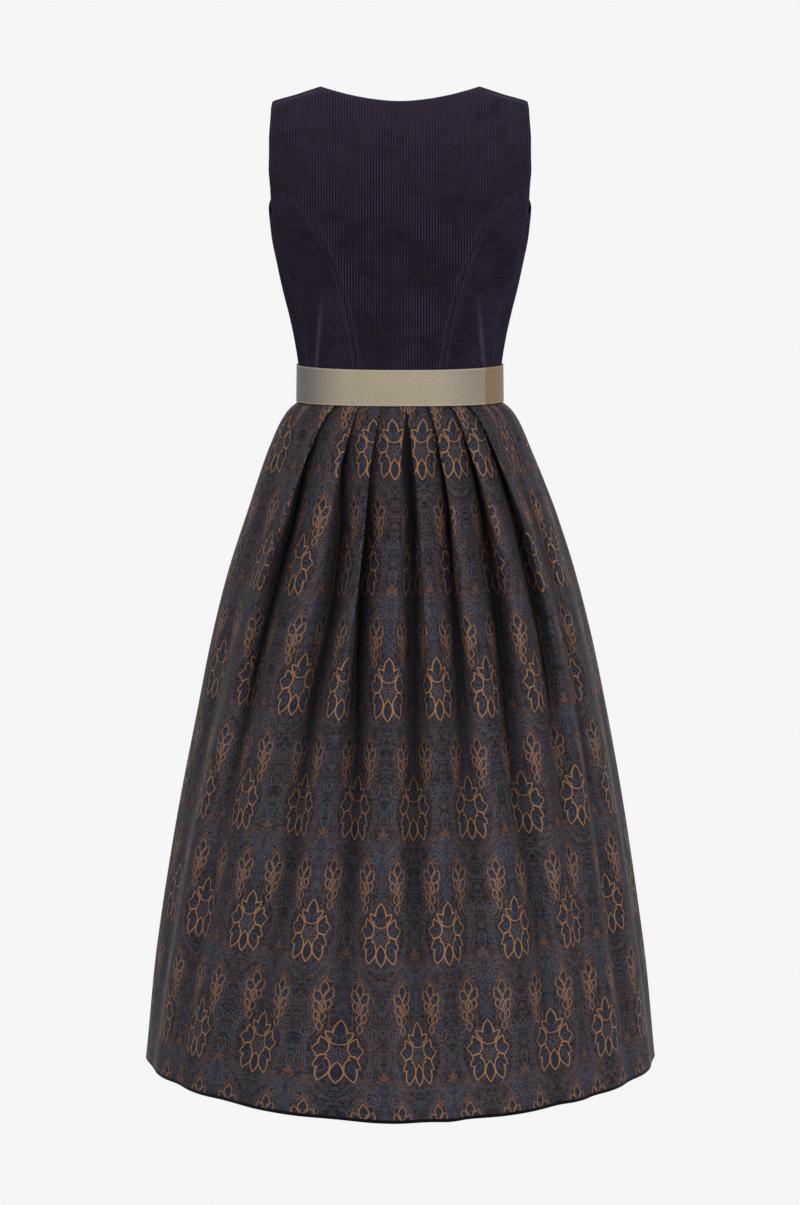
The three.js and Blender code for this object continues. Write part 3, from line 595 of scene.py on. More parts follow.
def across_cloth(point):
    """Each place's distance across the flat cloth, from the centre front."""
    step = np.linalg.norm(np.diff(point, axis=0), axis=1)
    hidden = np.where(point[:, 1] < 0, hidden_from(point, -EYE_AWAY), hidden_from(point, EYE_AWAY))
    bottom = 0.3 * np.abs(np.cos(np.pi * (PLACES[:-1] + 0.01))) ** 8
    hidden = step * np.maximum((hidden[:-1] + hidden[1:]) / 2, bottom)
    from_ridge = lambda part: np.concatenate([part[-HALF:], part[:-HALF]]).reshape(COUNT, TO_A_FOLD)
    step, hidden = from_ridge(step), from_ridge(hidden)
    ridges = np.concatenate([[REFERENCE[-HALF - 1] - REFERENCE[-1]], REFERENCE[HALF::TO_A_FOLD]])
    lack = np.diff(ridges) - step.sum(1)
    room = hidden.sum(1)
    taken = np.clip(lack, -0.5 * room, 5 * room)
    grown = step * (1 + (lack - taken) / step.sum(1))[:, None]
    grown += hidden * (taken / np.maximum(room, 1e-9))[:, None]
    across = ridges[0] + np.concatenate([[0], np.cumsum(grown)])
    return np.concatenate([across[HALF:], across[-1] + np.cumsum(grown[0, :HALF])])


def down_cloth():
    """The distance from the waist down to each height, along the cloth."""
    mean = (read(SKIRT, "half", HEIGHTS) + read(SKIRT, "back", HEIGHTS)) / 2
    return np.concatenate([[0], np.cumsum(np.hypot(np.diff(HEIGHTS), np.diff(mean)))])


DOWN = down_cloth()
print("cloth round the skirt in mm:", round(float(REFERENCE[-1])), "length in mm:", round(float(DOWN[-1])))

# %% [markdown]
# ## The skirt's three lengths
#
# Two front lengths meet in the middle of the front and at the sides of one wide back length. All
# three are cut from the same rows, so the wave runs on across the seams and no light comes through.
# The fold edges of a pressed pleat are rounded a little, as thick brocade rounds them. Every point
# also keeps how deep in a fold it lies, and the finish paints shade there, because light hardly
# reaches the bottom of a deep pleat. This painted shade is a dark strip, wider in the deepest folds,
# and it fades in the shallow ones near the hem.

# %% Make the skirt
def soften(point, amount):
    """Rounds the corners of a row."""
    inner = (point[:-2] + 2 * point[1:-1] + point[2:]) / 4
    point[1:-1] += (inner - point[1:-1]) * amount
    return point


PRESSED = np.array([fold["pressed"] for fold in FOLDS], float)


def painted_fold_shade_at(z, flat):
    """Painted shade: 0 on a ridge, and up to 1 at the bottom of a fold that light hardly reaches."""
    depth = between(fold_values("depth", z), PLACES, 0)
    valley = np.abs(np.cos(np.pi * PLACES))
    amount = np.clip(smoothstep(depth, 3, 12) + 0.6 * flat * between(PRESSED, PLACES, 0), 0, 1)
    narrow = 9 - 4 * smoothstep(depth, 12, 17)
    fade = 1 - 0.4 * float(smoothstep(-z, 800, 1000))
    return amount * (0.8 * valley**narrow + 0.2 * valley**3) * fade


def skirt_rows():
    rows = []
    for z, down in zip(HEIGHTS, DOWN):
        middle = skirt_middle(PLACES, z)
        across = across_cloth(middle)
        flat = float(read(PLEAT_FALL, "pressed", z))
        for _ in range(2):
            middle = soften(middle, min(1, 0.5 + flat))
        rows.append((middle, across, down, painted_fold_shade_at(z, flat)))
    return rows


ROWS = skirt_rows()


def skirt_length(name, start, end):
    first, last = round(start * TO_A_FOLD), round(end * TO_A_FOLD)
    outer, inner = [], []
    for middle, across, down, painted_fold_shade in ROWS:
        point = middle[first:last + 1].copy()
        step = np.diff(point, axis=0)
        step /= np.linalg.norm(step, axis=1, keepdims=True)
        before, after = np.concatenate([step[:1], step]), np.concatenate([step, step[-1:]])
        along = before + after
        along /= np.linalg.norm(along, axis=1, keepdims=True)
        reach = BROCADE_THICK / 2 / np.maximum(0.6, (along * after).sum(1))
        out = np.stack([along[:, 1], -along[:, 0], 0 * along[:, 0]], -1) * reach[:, None]
        key = PLACES[first:last + 1]
        cloth = np.stack([across[first:last + 1], np.full(len(point), down),
                          np.full(len(point), DOWN[-1] - down), painted_fold_shade[first:last + 1] / MM], -1)
        kept = sorted({*range(0, len(point), 3), len(point) - 1})  # the inner face needs fewer points
        outer.append(row_of(point + out, key, cloth))
        inner.append(row_of((point - out)[kept], key[kept], cloth[kept]))
    return cloth_mesh(name, outer, inner[::2])


LENGTHS = {  # name, and the places where it starts and ends
    "skirt_front_left": ("front_left_of_brocade", 0, LEFT_SIDE),
    "skirt_back": ("back_of_brocade", LEFT_SIDE, RIGHT_SIDE),
    "skirt_front_right": ("front_right_of_brocade", RIGHT_SIDE, COUNT),
}
skirt = {node: skirt_length(*length) for node, length in LENGTHS.items()}
for node, piece in skirt.items():
    print(node, "faces:", len(piece.data.polygons))

# %% [markdown]
# ## The belt
#
# The belt is one ribbon that goes round the waist over the seam. It is 48 mm wide at the centre back,
# and its upper edge rises by 2 mm at the sides. At the right of the back its end lies over a darker
# end piece.
# Both are thin strips on the belt's own section, with edges that are a little thicker where the
# ribbon's selvedge is woven.

# %% Make the belt
BELT_TOP, BELT_BOTTOM, BELT_RISE, BELT_THICK, BELT_LIFT = -374.5, -422.5, 2, 1.8, 2.3
BELT_ROWS = (0, 0.008, 0.03, 0.05, 0.2, 0.4, 0.6, 0.8, 0.95, 0.97, 0.992, 1)  # from the bottom up
BELT = table("z half back front power", [
    (BELT_TOP, 138.9, 82.6, 91.4, 2.3), (BELT_BOTTOM, 139.6, 84.8, 92.9, 2.3),
])


def ribbon(name, start, end, steps, lifted):
    outer, inner = [], []
    for share in BELT_ROWS:
        z = BELT_BOTTOM + (BELT_TOP - BELT_BOTTOM) * share
        sec = {c: float(read(BELT, c, z)) for c in ("half", "back", "front", "power")}
        edge = min(share, 1 - share) * 49
        finish = end + (0.25 * math.sin(share * 19) + 0.15 * math.sin(share * 47) if lifted else 0)
        t = np.linspace(0, 1, steps + 1)
        bearing = start + (finish - start) * t
        lift = BELT_LIFT * smoothstep(bearing, 364, 382) * lifted
        height = z + BELT_RISE * share * np.sin(np.radians(bearing)) ** 2
        point = on_section(np.radians(bearing), height, **sec)
        out = outward_of(point, sec)
        thick = BELT_THICK - 0.35 * math.exp(-edge / 0.5) - 0.2 * float(smoothstep(edge, 1.2, 2.2))
        cloth = np.stack([bearing * 2.0, np.full(len(t), z - BELT_BOTTOM), np.full(len(t), edge)], -1)
        outer.append(row_of(point + out * (lift + thick)[:, None], t, cloth))
        inner.append(row_of(point + out * lift[:, None], t, cloth))
    return cloth_mesh(name, outer, inner)


belt = {
    "belt_band": ribbon("band_of_ribbon", 104.15, 411, 460, 1),
    "belt_end": ribbon("end_of_ribbon", 24, 103.85, 120, 0),
}
print("belt pieces:", [piece.name for piece in belt.values()])

# %% [markdown]
# ## Writing patterns as sums
#
# A material in Blender is a graph of nodes. Drawing a leaf with forty separate Math nodes would be
# unreadable, so a small class stands for one number that changes over the cloth: a plus or a times
# between two of them adds the Math node. The same few shapes, a leaf, a dot and a line, then make
# every flower in the brocade.

# %% Numbers that change over the cloth
class Thread:
    tree = None

    def __init__(self, socket):
        self.socket = socket

    def __add__(self, other): return maths("ADD", self, other)
    def __radd__(self, other): return maths("ADD", other, self)
    def __sub__(self, other): return maths("SUBTRACT", self, other)
    def __rsub__(self, other): return maths("SUBTRACT", other, self)
    def __mul__(self, other): return maths("MULTIPLY", self, other)
    def __rmul__(self, other): return maths("MULTIPLY", other, self)
    def __truediv__(self, other): return maths("DIVIDE", self, other)
    def __abs__(self): return maths("ABSOLUTE", self)


def maths(kind, *values):
    node = Thread.tree.nodes.new("ShaderNodeMath")
    node.operation = kind
    for socket, value in zip(node.inputs, values):
        feed(socket, value)
    return Thread(node.outputs[0])


def feed(socket, value):
    if isinstance(value, Thread):
        Thread.tree.links.new(value.socket, socket)
    else:
        socket.default_value = value


def inside(value, edge=0.0, soft=0.3):
    """1 where a value is above an edge and 0 below it, with a soft change."""
    node = Thread.tree.nodes.new("ShaderNodeMapRange")
    node.interpolation_type = "SMOOTHSTEP"
    for socket, number in zip(node.inputs, (value, edge - soft, edge + soft, 0.0, 1.0)):
        feed(socket, number)
    return Thread(node.outputs[0])


def line(value, width):
    return inside(width / 2 - abs(value))


def most(*values):
    total = values[0]
    for value in values[1:]:
        total = maths("MAXIMUM", total, value)
    return total


def repeat(value, period):
    """The distance to the nearest whole number of periods, with its sign."""
    return maths("FLOORED_MODULO", value + period / 2, period) - period / 2


def polar(x, y):
    """Radius, and the angle from straight up."""
    return maths("SQRT", x * x + y * y), maths("ARCTAN2", x, y)


def leaf(x, y, length, width):
    """How far inside a pointed leaf a spot is. The leaf stands on 0, 0 and points up."""
    t = y / length
    return t * (1 - t) * (2 * width) - abs(x)


def petals(x, y, count, start, length, width):
    radius, angle = polar(x, y)
    near = repeat(angle, 2 * math.pi / count)
    return leaf(radius * maths("SINE", near), radius * maths("COSINE", near) - start, length, width)


print("inside:", inside.__doc__)
print("leaf:", leaf.__doc__)

# %% [markdown]
# ## The brocade's repeat
#
# The pattern is a half-drop: wreaths of pointed petals stand 97 mm apart, and every second row moves
# half a step sideways. A wreath has leaf sprays above it, a palmette higher up, small star flowers
# and rosettes below, and thin curved lines that wrap round all of it. The motifs are drawn once, in
# a node group, as seen from a wreath's centre. The cloth uses that group twice, once for each row.
#
# First come the tools: a group with its sockets, a curve given point by point, and leaves that are
# given by where they start, where they end and how wide they are. Leaves that grow together share an outline.

# %% Tools for the motifs
def new_group(name, outputs):
    group = bpy.data.node_groups.new(name, "ShaderNodeTree")
    for head in ("x", "y"):
        group.interface.new_socket(head, in_out="INPUT", socket_type="NodeSocketFloat")
    for head in outputs:
        group.interface.new_socket(head, in_out="OUTPUT", socket_type="NodeSocketFloat")
    Thread.tree = group
    source, sink = group.nodes.new("NodeGroupInput"), group.nodes.new("NodeGroupOutput")
    return group, Thread(source.outputs["x"]), Thread(source.outputs["y"]), sink


def curve_of(value, low, high, points):
    """A curve given point by point: points are (value, result)."""
    top = max(result for _, result in points)
    node = Thread.tree.nodes.new("ShaderNodeFloatCurve")
    line_of = node.mapping.curves[0]
    spots = [((v - low) / (high - low), r / top) for v, r in points]
    line_of.points[0].location, line_of.points[1].location = spots[0], spots[-1]
    for spot in spots[1:-1]:
        line_of.points.new(*spot)
    node.mapping.update()
    feed(node.inputs["Value"], (value - low) / (high - low))
    return Thread(node.outputs[0]) * top


def leaf_at(x, y, base, tip, width):
    """A leaf drawn from its base to its tip."""
    away = (tip[0] - base[0], tip[1] - base[1])
    length = math.hypot(*away)
    c, s = away[1] / length, away[0] / length
    return leaf((x - base[0]) * c - (y - base[1]) * s, (x - base[0]) * s + (y - base[1]) * c, length, width)


def leaves(x, y, rows):
    """Leaves that have grown together: rows are (base, tip, width)."""
    return most(*(leaf_at(x, y, *row) for row in rows))


def outline(shape, width):
    return line(shape - width / 2, width)


print("motif tools are ready:", leaf_at.__name__, leaves.__name__, outline.__name__)

# %% [markdown]
# ## A wreath and its ears of leaves
#
# All motifs are even, so the distance from the middle line, called side here, draws both halves at
# once. A petal is three leaves from one place: a tall one and two that make its cusps. Copper threads
# outline it, blue ones fill it, and grey ones draw its heart and the seeds in the wreath's middle.

# %% Wreath and sprays
def draw_wreath(x, y):
    """Six pointed and cusped petals round an open middle, the top one taller than the others."""
    side = abs(x)
    crown = leaves(side, y, [((0, 13), (0, 45), 15), ((0, 15), (15, 30), 10), ((0, 11), (7, 24), 12)])
    upper = leaves(side, y, [((9, 6), (27, 6), 17), ((10, 1), (19, 23), 12), ((9, 10), (22, -4), 11)])
    lower = leaves(side, y, [((9, -6), (17, -37), 15), ((8, -8), (24, -17), 13), ((10, -2), (21, -10), 10)])
    foot = leaves(side, y, [((0, -10), (0, -40), 14)])
    copper = most(*(outline(petal, 1.6) for petal in (crown, upper, lower, foot)))
    blue = most(*(inside(petal - 3.4) for petal in (crown, upper, lower, foot)))
    seeds = petals(x, y + 1, 7, 1.5, 9, 5)
    hearts = leaves(side, y, [((12, 5), (21, 7), 9), ((12, -12), (17, -26), 8), ((3, 17), (7, 25), 7)])
    grey = most(outline(hearts, 1.2), line(seeds - 0.5, 0.9))
    return copper, blue, grey


def draw_sprays(x, y):
    """An ear of leaves on each side above the wreath."""
    side = abs(x)
    rows = [
        [((20.5, 74), (21.5, 97), 11)], [((19, 68), (11, 86), 11)], [((23, 67), (32, 85), 11)],
        [((19.5, 56), (13, 72), 10), ((22.5, 54), (31, 70), 10)], [((20.5, 54), (21.5, 71), 9)],
        [((21, 41), (20.5, 55), 10)], [((23, 42), (29, 56), 8)], [((21.5, 29), (22, 42), 8)],
    ]
    shapes = [leaves(side, y, row) for row in rows]
    copper = most(*(outline(shape, 1.2) for shape in shapes)) * 0.8
    blue = most(*(inside(shape - 2.6) for shape in shapes))
    return copper, blue


print("drawn:", draw_wreath.__doc__, draw_sprays.__doc__)

# %% [markdown]
# ## Palmette and flowers
#
# Wheels and rosettes are easier in polar form: a radius, and an angle from straight up. Beads on a
# ring are dots that repeat in the angle, and a fan is a ring that is cut off at two angles.

# %% Palmette, stars and rosettes
def draw_palmette(x, y):
    """Orange buds high above the wreath, between two half wheels of beads."""
    side = abs(x)
    buds = leaves(side, y, [((0, 128), (0, 141), 8), ((1, 128), (7, 137), 6), ((1, 126), (10, 129), 5)])
    point = leaf(x, y - 138, 26, 11)
    radius, angle = polar(side - 21, y - 113)
    fan = inside(1.5 - abs(angle), 0, 0.08)
    beads = repeat(angle, 0.26)
    ring = 2.0 - maths("SQRT", (radius - 13) * (radius - 13) + beads * beads * 169)
    spokes = line(beads * radius, 0.9) * inside(2.5 - abs(radius - 8.5), 0, 0.5)
    orange = most(inside(buds - 1.0) * 0.6, inside(ring - 0.4) * fan * 0.3)
    grey = most(outline(point, 1.0), line(radius - 16.2, 0.9) * fan, spokes * fan)
    return orange, grey


def draw_flowers(x, y):
    """A star flower and a rosette on each side below the wreath, and a row of beads over them."""
    side = abs(x)
    star = petals(side - 29, y + 62, 6, 1.2, 6.5, 5.5)
    star_r, _ = polar(side - 29, y + 62)
    rosette_r, rosette_a = polar(side - 25, y + 95)
    rose = petals(side - 25, y + 95, 8, 4.0, 9.5, 8.5)
    dots = repeat(rosette_a, 0.24)
    ring = 1.5 - maths("SQRT", (rosette_r - 18) * (rosette_r - 18) + dots * dots * 324)
    orange = most(inside(star - 0.8) * 0.4, inside(1.6 - star_r) * 0.8)
    blue = inside(rose - 2.0)
    beads = inside(ring - 0.3) * inside(1.2 - abs(rosette_a), 0, 0.1)
    grey = most(outline(rose, 1.3), line(rosette_r - 3.0, 1.2), beads)
    return orange, blue, grey


print("drawn:", draw_palmette.__doc__, draw_flowers.__doc__)

# %% [markdown]
# ## The frame, and the whole group
#
# The lines that wrap a wreath follow a curve given point by point: how far out they run at each
# height. Beside them there are scrolls, which are spirals: rings whose radius grows with the angle.

# %% Frame and group
def draw_frame(x, y):
    """The curved lines that wrap a wreath, the plain band between the sprays and the scrolls."""
    side = abs(x)
    width = curve_of(y, -64, 150, [(-64, 1), (-56, 12), (-42, 25), (-20, 33), (8, 36), (24, 33), (36, 27.5),
                                   (48, 31), (70, 34), (92, 30), (112, 20), (132, 16), (150, 20)])
    edge = side - width
    reach = inside(y + 62) * inside(120 - y)
    near = curve_of(y, 34, 96, [(34, 12), (44, 12.5), (58, 12), (72, 10.5), (88, 11), (96, 14)])
    stem = line(side - near, 0.9) * inside(y - 34) * inside(94 - y)
    belly = curve_of(y, 44, 128, [(44, 1), (54, 5), (70, 6), (84, 7.5), (100, 14), (112, 15), (120, 8),
                                  (128, 1)])
    vase = inside(belly - side, 0, 1.0)
    radius, angle = polar(side - 13, y - 103)
    coil = line(repeat(radius - angle * 0.8, 5.0), 1.2) * inside(11 - radius)
    low_r, low_a = polar(side - 15.5, y + 130)
    low = line(repeat(low_r - low_a * 0.8, 5.0), 1.1) * inside(12 - low_r)
    arch = line(low_r - 13.5, 1.1) * inside(1.7 - abs(low_a), 0, 0.1)
    copper = most(line(edge, 1.0) * reach * 0.9, stem * 0.9, arch * 0.25)
    grey = most(line(edge + 2.6, 1.0) * reach, line(edge - 3.4, 0.8) * reach, coil, low)
    return copper, grey, vase


def wreath_group():
    heads = ("copper", "orange", "blue", "grey", "band")
    group, x, y, sink = new_group("wreath", heads)
    wreath_copper, wreath_blue, wreath_grey = draw_wreath(x, y)
    spray_copper, spray_blue = draw_sprays(x, y)
    bud_orange, bud_grey = draw_palmette(x, y)
    star_orange, star_blue, star_grey = draw_flowers(x, y)
    frame_copper, frame_grey, band = draw_frame(x, y)
    drawn = {
        "copper": most(wreath_copper, spray_copper),
        "orange": most(bud_orange, star_orange, frame_copper * 0.7),
        "blue": most(wreath_blue, spray_blue, star_blue),
        "grey": most(wreath_grey, bud_grey, star_grey, frame_grey),
        "band": band,
    }
    for head, value in drawn.items():
        group.links.new(value.socket, sink.inputs[head])
    print("nodes in the wreath group:", len(group.nodes))
    return group


WREATH = wreath_group()

# %% [markdown]
# ## Laying colours over each other
#
# Brocade is woven from dark ground threads with coloured ones floated over them, so the material
# starts with the ground and lays each colour on top where the pattern asks for it. The lines of
# filling scrolls are rings round scattered centres, bent by noise. All colours change slightly over
# the cloth, because a thread catches more or less light as it goes over and under.

# %% Helpers for finishes
def linear(red, green, blue):
    """A colour as a paint chart gives it, from 0 to 255, for a shader."""
    part = lambda c: (c / 255 / 12.92) if c <= 10 else ((c / 255 + 0.055) / 1.055) ** 2.4
    return (part(red), part(green), part(blue), 1.0)


def new_finish(name, roughness):
    finish = bpy.data.materials.new(name)
    finish.use_nodes = True
    Thread.tree = finish.node_tree
    shader = finish.node_tree.nodes["Principled BSDF"]
    shader.inputs["Roughness"].default_value = roughness
    return finish, shader


def cloth_place():
    """x across and y along the cloth in mm, and a third number that each cloth uses in its own way."""
    node = Thread.tree.nodes.new("ShaderNodeAttribute")
    node.attribute_name = "cloth"
    split = Thread.tree.nodes.new("ShaderNodeSeparateXYZ")
    Thread.tree.links.new(node.outputs["Vector"], split.inputs[0])
    return [Thread(split.outputs[k]) * 1000.0 for k in range(3)]


def fact(name):
    """Any other number that the mesh remembers."""
    node = Thread.tree.nodes.new("ShaderNodeAttribute")
    node.attribute_name = name
    return Thread(node.outputs["Fac"])


def spot_of(x, y, z=0.0):
    node = Thread.tree.nodes.new("ShaderNodeCombineXYZ")
    for socket, value in zip(node.inputs, (x, y, z)):
        feed(socket, value)
    return Thread(node.outputs[0])


def noise(spot, scale, detail=2.0):
    node = Thread.tree.nodes.new("ShaderNodeTexNoise")
    feed(node.inputs["Vector"], spot)
    node.inputs["Scale"].default_value = scale
    node.inputs["Detail"].default_value = detail
    return Thread(node.outputs[0])


def lay(under, over, where):
    """One colour over another."""
    node = Thread.tree.nodes.new("ShaderNodeMix")
    node.data_type = "RGBA"
    feed(node.inputs["Factor"], where)
    for head, value in (("A", under), ("B", over)):
        socket = next(s for s in node.inputs if s.name == head and s.type == "RGBA")
        feed(socket, value)
    return Thread(next(s for s in node.outputs if s.type == "RGBA"))


def emboss(shader, height, distance, strength):
    node = Thread.tree.nodes.new("ShaderNodeBump")
    node.inputs["Strength"].default_value = strength
    node.inputs["Distance"].default_value = distance
    feed(node.inputs["Height"], height)
    Thread.tree.links.new(node.outputs[0], shader.inputs["Normal"])


def dress(pieces, finish):
    for node, piece in pieces.items():
        piece.data.materials.append(finish)
        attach(piece, "root")
        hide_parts(node)


print("a beige as a shader takes it:", [round(part, 3) for part in linear(118, 108, 90)])

# %% Brocade
STEP, DROP = 97.0, 320.0
PHASE_X, PHASE_Y = -4.0, -72.0


def wreath_at(x, y):
    node = Thread.tree.nodes.new("ShaderNodeGroup")
    node.node_tree = WREATH
    feed(node.inputs["x"], x)
    feed(node.inputs["y"], y)
    return {socket.name: Thread(socket) for socket in node.outputs}


def scroll_lines(spot, scale):
    node = Thread.tree.nodes.new("ShaderNodeTexVoronoi")
    feed(node.inputs["Vector"], spot)
    node.inputs["Scale"].default_value = scale
    return Thread(node.outputs["Distance"])


def brocade():
    finish, shader = new_finish("brocade", 0.52)
    x, y, to_hem = cloth_place()
    x, y = x - PHASE_X, PHASE_Y - y
    first = wreath_at(repeat(x, STEP), repeat(y, DROP))
    second = wreath_at(repeat(x + STEP / 2, STEP), repeat(y + DROP / 2, DROP))
    drawn = {head: most(first[head], second[head]) for head in first}
    column = STEP / 2  # the filling mirrors in every column and drops by half a repeat in the next one
    mirror, fall = abs(repeat(x, column)), y + maths("ROUND", x / column) * (DROP / 2)
    bend = noise(spot_of(mirror / 100, fall / 100), 8.0) * 18
    rings = scroll_lines(spot_of((mirror + bend) / 100, (fall - bend) / 100), 7.0)
    filling = inside(maths("SINE", rings * 27), 0.4, 0.5)
    vines = inside(maths("SINE", noise(spot_of(mirror / 100, fall / 100, 7.0), 6.5) * 40), 0.4, 0.5)
    tone = noise(spot_of(x / 100, y / 100, 3.0), 2.2)
    colour = lay(linear(21, 20, 26), linear(27, 21, 23), inside(tone, 0.5, 0.12))
    colour = lay(colour, linear(32, 34, 45), drawn["band"] * 0.6)
    colour = lay(colour, linear(58, 48, 46), filling * 0.5)
    colour = lay(colour, linear(46, 50, 59), vines * 0.5)
    colour = lay(colour, linear(24, 28, 39), drawn["blue"] * 0.75)
    colour = lay(colour, linear(64, 60, 67), drawn["grey"] * 0.6)
    colour = lay(colour, linear(92, 60, 41), drawn["orange"] * 0.7)
    colour = lay(colour, linear(121, 84, 53), drawn["copper"] * 0.92)
    grain = noise(spot_of(x / 100, y / 25), 60.0)
    colour = lay(colour, linear(5, 4, 6), inside(grain, 0.5, 0.5) * 0.25)
    # painted shade: nearly black at the bottom of the deep folds
    colour = lay(colour, linear(1, 1, 1), fact("painted_fold_shade") * 0.95)
    colour = lay(colour, linear(5, 4, 6), inside(4.5 - to_hem, 0, 0.8))
    Thread.tree.links.new(colour.socket, shader.inputs["Base Color"])
    gloss = 0.6 - most(drawn["copper"], drawn["grey"]) * 0.14
    Thread.tree.links.new(gloss.socket, shader.inputs["Roughness"])
    shader.inputs["Sheen Weight"].default_value = 0.02
    shader.inputs["Sheen Roughness"].default_value = 0.4
    shader.inputs["IOR"].default_value = 1.2
    shader.inputs["Specular IOR Level"].default_value = 0.2
    emboss(shader, drawn["copper"] * 0.6 + drawn["grey"] * 0.3 + filling * 0.2, 0.0004, 0.6)
    return finish


dress(skirt, brocade())
print("brocade is on:", [piece.name for piece in skirt.values()])

# %% [markdown]
# ## The corduroy's nap
#
# The wales are already shape. Their pile is what makes corduroy look deep: it swallows light in the
# grooves and gives a soft edge of light along each rib. The colour paints that in, as painted shade
# in the grooves and painted sheen on the wale tops, and a little sheen in the shader adds to it. Fine
# noise stands for the tips of the pile, broader ones for places where the nap lies over. Painted
# light makes the upper bodice lighter, as if lit more from above. The painted highlights that the
# mesh remembers beside the seams and along the crease, and thin painted highlights on fine
# wrinkles, are laid on top.

# %% Corduroy
def corduroy():
    finish, shader = new_finish("corduroy", 0.9)
    x, y, seam_and_crease_highlight = cloth_place()
    rib = maths("ABSOLUTE", maths("SINE", x * (math.pi / WALE_PITCH)))
    pile = noise(spot_of(x / 20, y / 60), 30.0, 3.0)
    nap = noise(spot_of(x / 100, y / 100), 1.7, 3.0)
    patches = noise(spot_of(x / 100, y / 100, 5.0), 4.5, 5.0)
    wrinkles = noise(spot_of(x / 100, y / 22, 9.0), 4.5, 3.0)
    # painted shade in the grooves and painted sheen on the wale tops
    colour = lay(linear(2, 2, 3), linear(35, 27, 41), inside(rib, 0.66, 0.34))
    colour = lay(colour, linear(13, 10, 15), inside(nap, 0.52, 0.14) * 0.75)
    # painted light: lighter nap patches on the upper bodice, as if it were lit more from above
    colour = lay(colour, linear(40, 33, 46), inside(y, -115, 100) * inside(nap, 0.44, 0.2) * 0.4)
    colour = lay(colour, linear(9, 7, 10), inside(patches, 0.58, 0.14) * 0.4)
    # painted highlight: thin lighter lines along fine wrinkles, which the bump also raises
    colour = lay(colour, linear(42, 34, 48), line(wrinkles - 0.6, 0.02) * 0.25)
    colour = lay(colour, linear(8, 6, 9), inside(pile, 0.56, 0.3) * 0.35)
    # painted highlight beside the seams and along the crease, in patches
    colour = lay(colour, linear(64, 55, 72), seam_and_crease_highlight * inside(patches, 0.42, 0.25) * 0.45)
    Thread.tree.links.new(colour.socket, shader.inputs["Base Color"])
    shader.inputs["Sheen Weight"].default_value = 0.07
    shader.inputs["Sheen Roughness"].default_value = 0.5
    shader.inputs["Sheen Tint"].default_value = linear(150, 125, 185)
    shader.inputs["Specular IOR Level"].default_value = 0.04
    emboss(shader, pile + wrinkles * 1.2, 0.0006, 0.6)
    return finish


dress(bodice, corduroy())
print("corduroy is on:", len(bodice), "panels")

# %% [markdown]
# ## Ribbon
#
# The belt is a twilled ribbon with a dull gloss. Its slanting ribs are a few millimetres apart and
# very flat, so they are bump, and a thin lighter line of painted highlight runs along each selvedge.
# The ribbon is painted greyer and darker towards both sides of the back, where it turns away: painted
# shade and sheen. The end piece is the same ribbon in a darker tan.

# %% Ribbon finishes
def ribbon_finish(name, light, dark, painted_shade_and_sheen):
    finish, shader = new_finish(name, 0.55)
    x, y, edge = cloth_place()
    ribs = maths("SINE", (x + y) * 1.9) * 0.6 + maths("SINE", y * 6.0) * 0.4
    speckle = noise(spot_of((x + y) / 20, (y - x) / 60), 14.0, 4.0)
    cloud = noise(spot_of(x / 100, y / 100), 1.3, 2.0)
    colour = lay(linear(*light), linear(*dark), inside(cloud, 0.5, 0.25) * 0.35)
    to_left = 1 - inside(x, *painted_shade_and_sheen[0])
    to_right = inside(x, *painted_shade_and_sheen[1])
    # painted shade and sheen: greyer and darker towards both sides of the back, where the ribbon turns away
    colour = lay(colour, linear(*painted_shade_and_sheen[2]), most(to_left, to_right * 0.5))
    colour = lay(colour, linear(*(c * 0.82 for c in dark)), inside(speckle, 0.56, 0.16) * 0.5)
    # painted highlight: a lighter line along each selvedge
    colour = lay(colour, linear(*(min(255, c + 12) for c in light)), line(edge - 1.2, 1.2) * 0.5)
    Thread.tree.links.new(colour.socket, shader.inputs["Base Color"])
    shader.inputs["Sheen Weight"].default_value = 0.05
    shader.inputs["Specular IOR Level"].default_value = 0.25
    emboss(shader, ribs * 0.5 + speckle * 0.6, 0.0003, 0.5)
    return finish


# Where painted shade and sheen turn the ribbon greyer along its length, on the left and on the right, and that
# grey.
PAINTED_SHADE_AND_SHEEN = {"belt_band": ((632, 40), (772, 36), (72, 69, 66)), "belt_end": ((-900, 1), (900, 1), (80, 70, 60))}
band_finish = ribbon_finish("ribbon", (118, 108, 90), (104, 97, 82), PAINTED_SHADE_AND_SHEEN["belt_band"])
end_finish = ribbon_finish("ribbon_end", (99, 79, 53), (86, 69, 47), PAINTED_SHADE_AND_SHEEN["belt_end"])
dress({"belt_band": belt["belt_band"]}, band_finish)
dress({"belt_end": belt["belt_end"]}, end_finish)
print("ribbon is on both belt pieces")
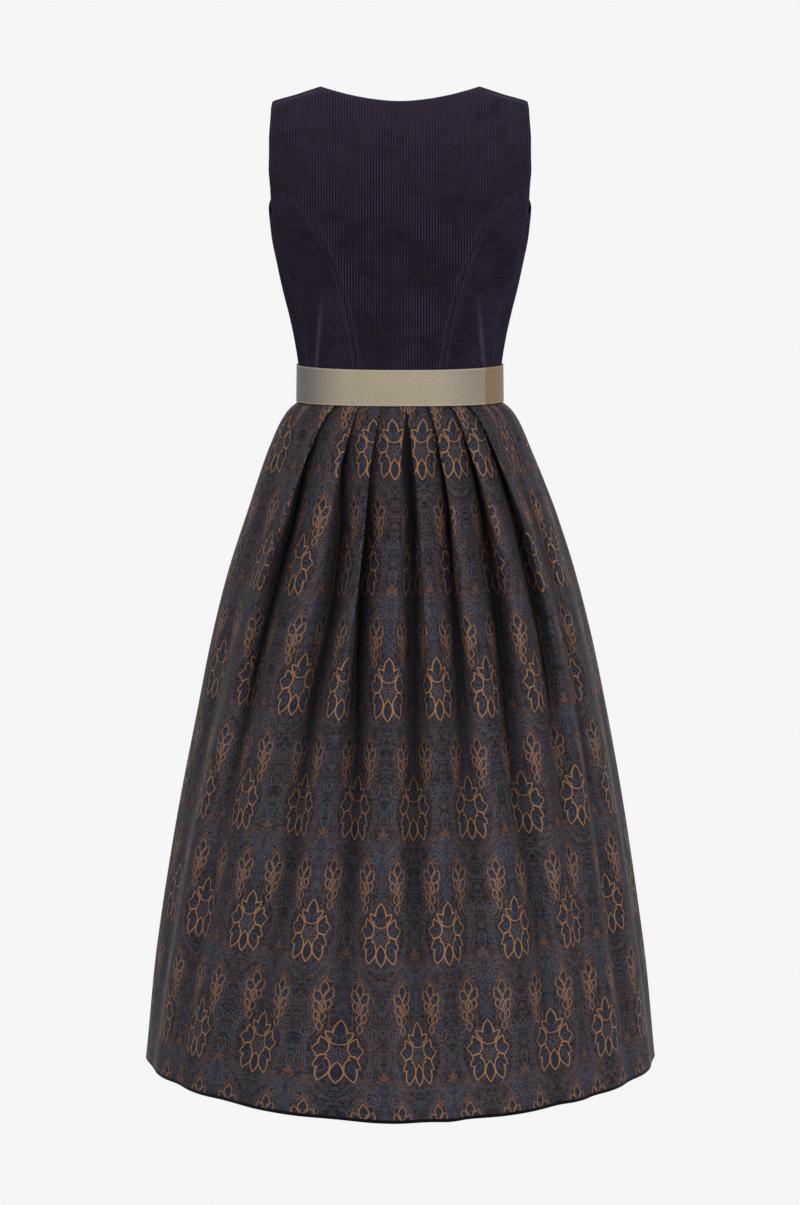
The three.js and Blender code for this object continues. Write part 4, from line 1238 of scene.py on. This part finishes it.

# %% [markdown]
# ## What each piece was cut from
#
# Cloth hardly stretches, so a piece's area has to match the cloth that it was cut from. The bodice's
# flat areas and the belt's length are worked back from the finished pieces, not taken from a paper
# pattern, so for them a match of areas proves nothing. The skirt's cut is a measure of its own: the
# way along its waves at one height, by the length from waist to hem.


# %% [markdown]
# ## The studio
#
# A plain pale studio with soft light: a broad lamp from the right, a weaker one from the left, one
# from above and an even glow all round. The lamps are suns with a wide disc, so they light the
# floor evenly. The floor's shade is worked out from their strengths: it should send back exactly as
# much light as the glow behind it, and then floor and wall become one plain backdrop. The dress
# stands well above the floor, as on a high stand, so that its shadow falls out of the picture.

# %% Floor and light
GLOW = 0.9216
FLOOR_HALF, FLOOR_Z = 90, -2.4
LAMPS = {  # strength, degrees to the left of the camera, degrees up, width of the disc, tint
    "lamp_left": (1.05, 38, 9, 20, (1.0, 0.985, 0.965)),
    "lamp_right": (2.95, -27, 9, 20, (0.985, 0.99, 1.0)),
    "lamp_above": (1.2, 0, 78, 50, (1.0, 1.0, 1.0)),
}


def hang_lamp(name, strength, left, up, disc, tint):
    light = bpy.data.lights.new(name, "SUN")
    light.energy, light.angle, light.color = strength, math.radians(disc), tint
    lamp = bpy.data.objects.new(name, light)
    lamp.rotation_euler = (math.radians(90 - up), 0, -math.radians(left))
    bpy.context.scene.collection.objects.link(lamp)


def studio_floor():
    mesh = bpy.data.meshes.new("floor")
    ways = ((-1, -1), (1, -1), (1, 1), (-1, 1))
    mesh.from_pydata([(FLOOR_HALF * x, FLOOR_HALF * y, FLOOR_Z) for x, y in ways], [], [(0, 1, 2, 3)])
    floor = bpy.data.objects.new("floor", mesh)
    bpy.context.scene.collection.objects.link(floor)
    finish, shader = new_finish("floor_paint", 1.0)
    fallen = [sum(lamp[0] * math.sin(math.radians(lamp[2])) * lamp[4][k] for lamp in LAMPS.values())
              for k in range(3)]
    shade = [GLOW / (GLOW + light / math.pi) for light in fallen]
    shader.inputs["Base Color"].default_value = (*shade, 1)
    shader.inputs["Specular IOR Level"].default_value = 0
    mesh.materials.append(finish)
    print("floor's shade:", [round(part, 3) for part in shade])


studio_floor()
for name, lamp in LAMPS.items():
    hang_lamp(name, *lamp)
world = bpy.data.worlds.new("studio")
world.use_nodes = True
world.node_tree.nodes["Background"].inputs["Color"].default_value = (GLOW, GLOW, GLOW, 1)
bpy.context.scene.world = world
bpy.context.scene.view_settings.view_transform = "Standard"
print("studio is lit")
